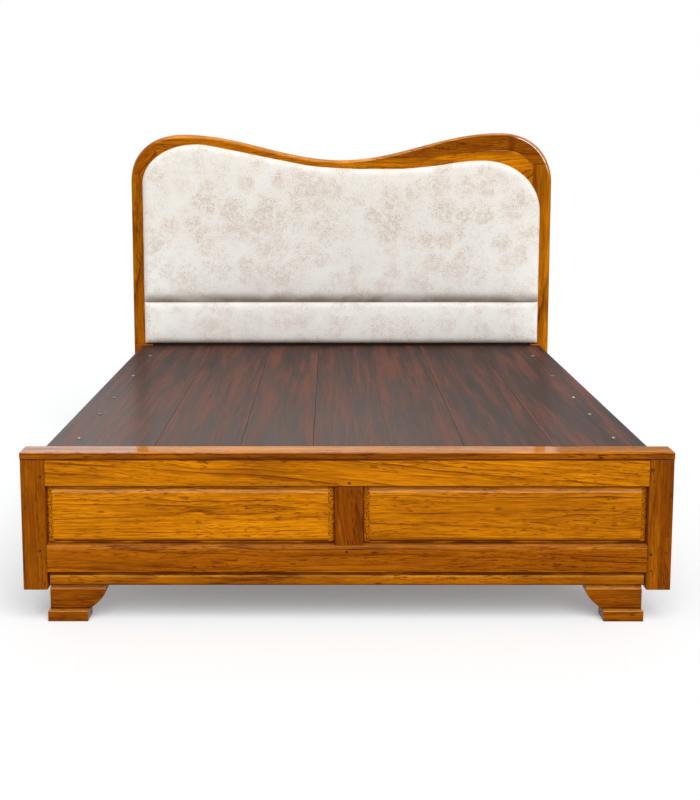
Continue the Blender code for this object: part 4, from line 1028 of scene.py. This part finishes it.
def clothMaterial(name, bottom, paintedShade):
    look = clothLook
    material, tree, shader = newMaterial(name + "_cover", look["finish"])
    place = objectPlace(tree)
    bent = drifted(tree, place, place, look["driftBy"], *look["drift"])
    crowd = calc(tree, "MAXIMUM", *(patches(tree, bent, *row) for row in look["patches"]))
    ragged = ease(tree, noise(tree, place, look["ragged"]), *look["raggedEdge"])
    crowd = calc(tree, "MULTIPLY", crowd, ragged, clamp=True)
    speck = noise(tree, place, *look["specks"])
    dots = ease(tree, calc(tree, "MULTIPLY_ADD", crowd, look["crowdBy"], speck), *look["speckEdge"])
    x, _, z = split(tree, place)
    # painted light: the ground is lighter lower down, on the lower cushion
    colour = blendColour(tree, ease(tree, z, *look["litGroundHeights"]), look["ground"], look["litGroundLow"])
    for part, shade, by in ((crowd, look["wash"], look["washBy"]), (dots, look["dots"], look["dotsBy"])):
        share = calc(tree, "MULTIPLY", part, ease(tree, z, *by))
        colour = blendColour(tree, share, colour, shade)
    # painted shade, patchy, near the bottom roll and along the left edge
    paintedShadeShare = ease(tree, z, bottom, bottom + look["paintedShadeReach"], paintedShade, 0.0)
    uneven = ease(tree, noise(tree, bent, look["paintedShadePatches"]), *look["paintedShadeUneven"])
    paintedShadeShare = calc(tree, "MULTIPLY", paintedShadeShare, uneven)
    paintedShadeShare = calc(tree, "MAXIMUM", paintedShadeShare, ease(tree, x, *look["paintedShadeSide"]))
    colour = blendColour(tree, paintedShadeShare, colour, look["paintedShade"])
    tree.links.new(colour, shader.inputs["Base Color"])
    threads = [calc(tree, "SINE", calc(tree, "MULTIPLY", axis, look["threads"])) for axis in (x, z)]
    addRelief(tree, shader, calc(tree, "MULTIPLY", *threads), look["relief"], look["reliefDepth"])
    return material


pads = {"upper_cushion": (upperTop, upperLook), "lower_cushion": (lowerTop, lowerLook)}
for nodeName, (topOf, look) in pads.items():
    piece, inset = padMesh(nodeName + "_pad", topOf, look)
    inflate(piece, inset, look["swell"])
    tension(piece, inset, look["seed"])
    paint(piece, clothMaterial(piece.name, look["bottom"], look["paintedShade"]))
    standFor(piece, nodeName)
    print(piece.name, len(piece.data.polygons), "faces")


# Studio: white floor that keeps the shadow, soft lamp, white background for the eye and for gloss

studioLook = {
    "white": (1, 1, 1, 1), "worldLight": 0.42, "sunLight": 2.4, "sunHeight": 52.0, "sunTurn": 12.0,
    "sunSoft": 60.0, "floorColour": (0.785, 0.8, 0.808), "floorGlow": 0.22, "floorSize": 40.0,
}


def seenRays(tree):  # 1 for rays from the eye, off gloss or through glass
    rays = tree.nodes.new("ShaderNodeLightPath").outputs
    seen = calc(tree, "ADD", rays["Is Camera Ray"], rays["Is Glossy Ray"])
    return calc(tree, "ADD", seen, rays["Is Transmission Ray"], clamp=True)


def addWorld():
    world = bpy.data.worlds.new("studio")
    world.use_nodes = True
    tree = world.node_tree
    back = tree.nodes["Background"]
    back.inputs["Color"].default_value = studioLook["white"]
    dim = studioLook["worldLight"]
    level = calc(tree, "MULTIPLY_ADD", seenRays(tree), 1 - dim, dim)
    tree.links.new(level, back.inputs["Strength"])
    scene.world = world


def floorMaterial():
    material = bpy.data.materials.new("floor_white")
    material.use_nodes = True
    tree = material.node_tree
    tree.nodes.remove(tree.nodes["Principled BSDF"])
    matt = addNode(tree, "ShaderNodeBsdfDiffuse", {"Color": opaque(studioLook["floorColour"])}).outputs[0]
    strength = calc(tree, "MULTIPLY", seenRays(tree), studioLook["floorGlow"])
    glow = {"Color": studioLook["white"], "Strength": strength}
    glow = addNode(tree, "ShaderNodeEmission", glow).outputs[0]
    both = addNode(tree, "ShaderNodeAddShader", {0: matt, 1: glow}).outputs[0]
    tree.links.new(both, tree.nodes["Material Output"].inputs["Surface"])
    return material


def addFloor():
    size = studioLook["floorSize"]
    corners = [(-size, -size, 0), (size, -size, 0), (size, size, 0), (-size, size, 0)]
    mesh = bpy.data.meshes.new("floor")
    mesh.from_pydata(corners, [], [(0, 1, 2, 3)])
    mesh.materials.append(floorMaterial())
    addObject("floor", mesh)


def addSun():
    lamp = bpy.data.lights.new("window", "SUN")
    lamp.energy = studioLook["sunLight"]
    lamp.angle = math.radians(studioLook["sunSoft"])
    tilt = math.radians(90 - studioLook["sunHeight"])
    addObject("window", lamp).rotation_euler = (tilt, 0, math.radians(studioLook["sunTurn"]))


addWorld()
addFloor()
addSun()
print("studio ready")
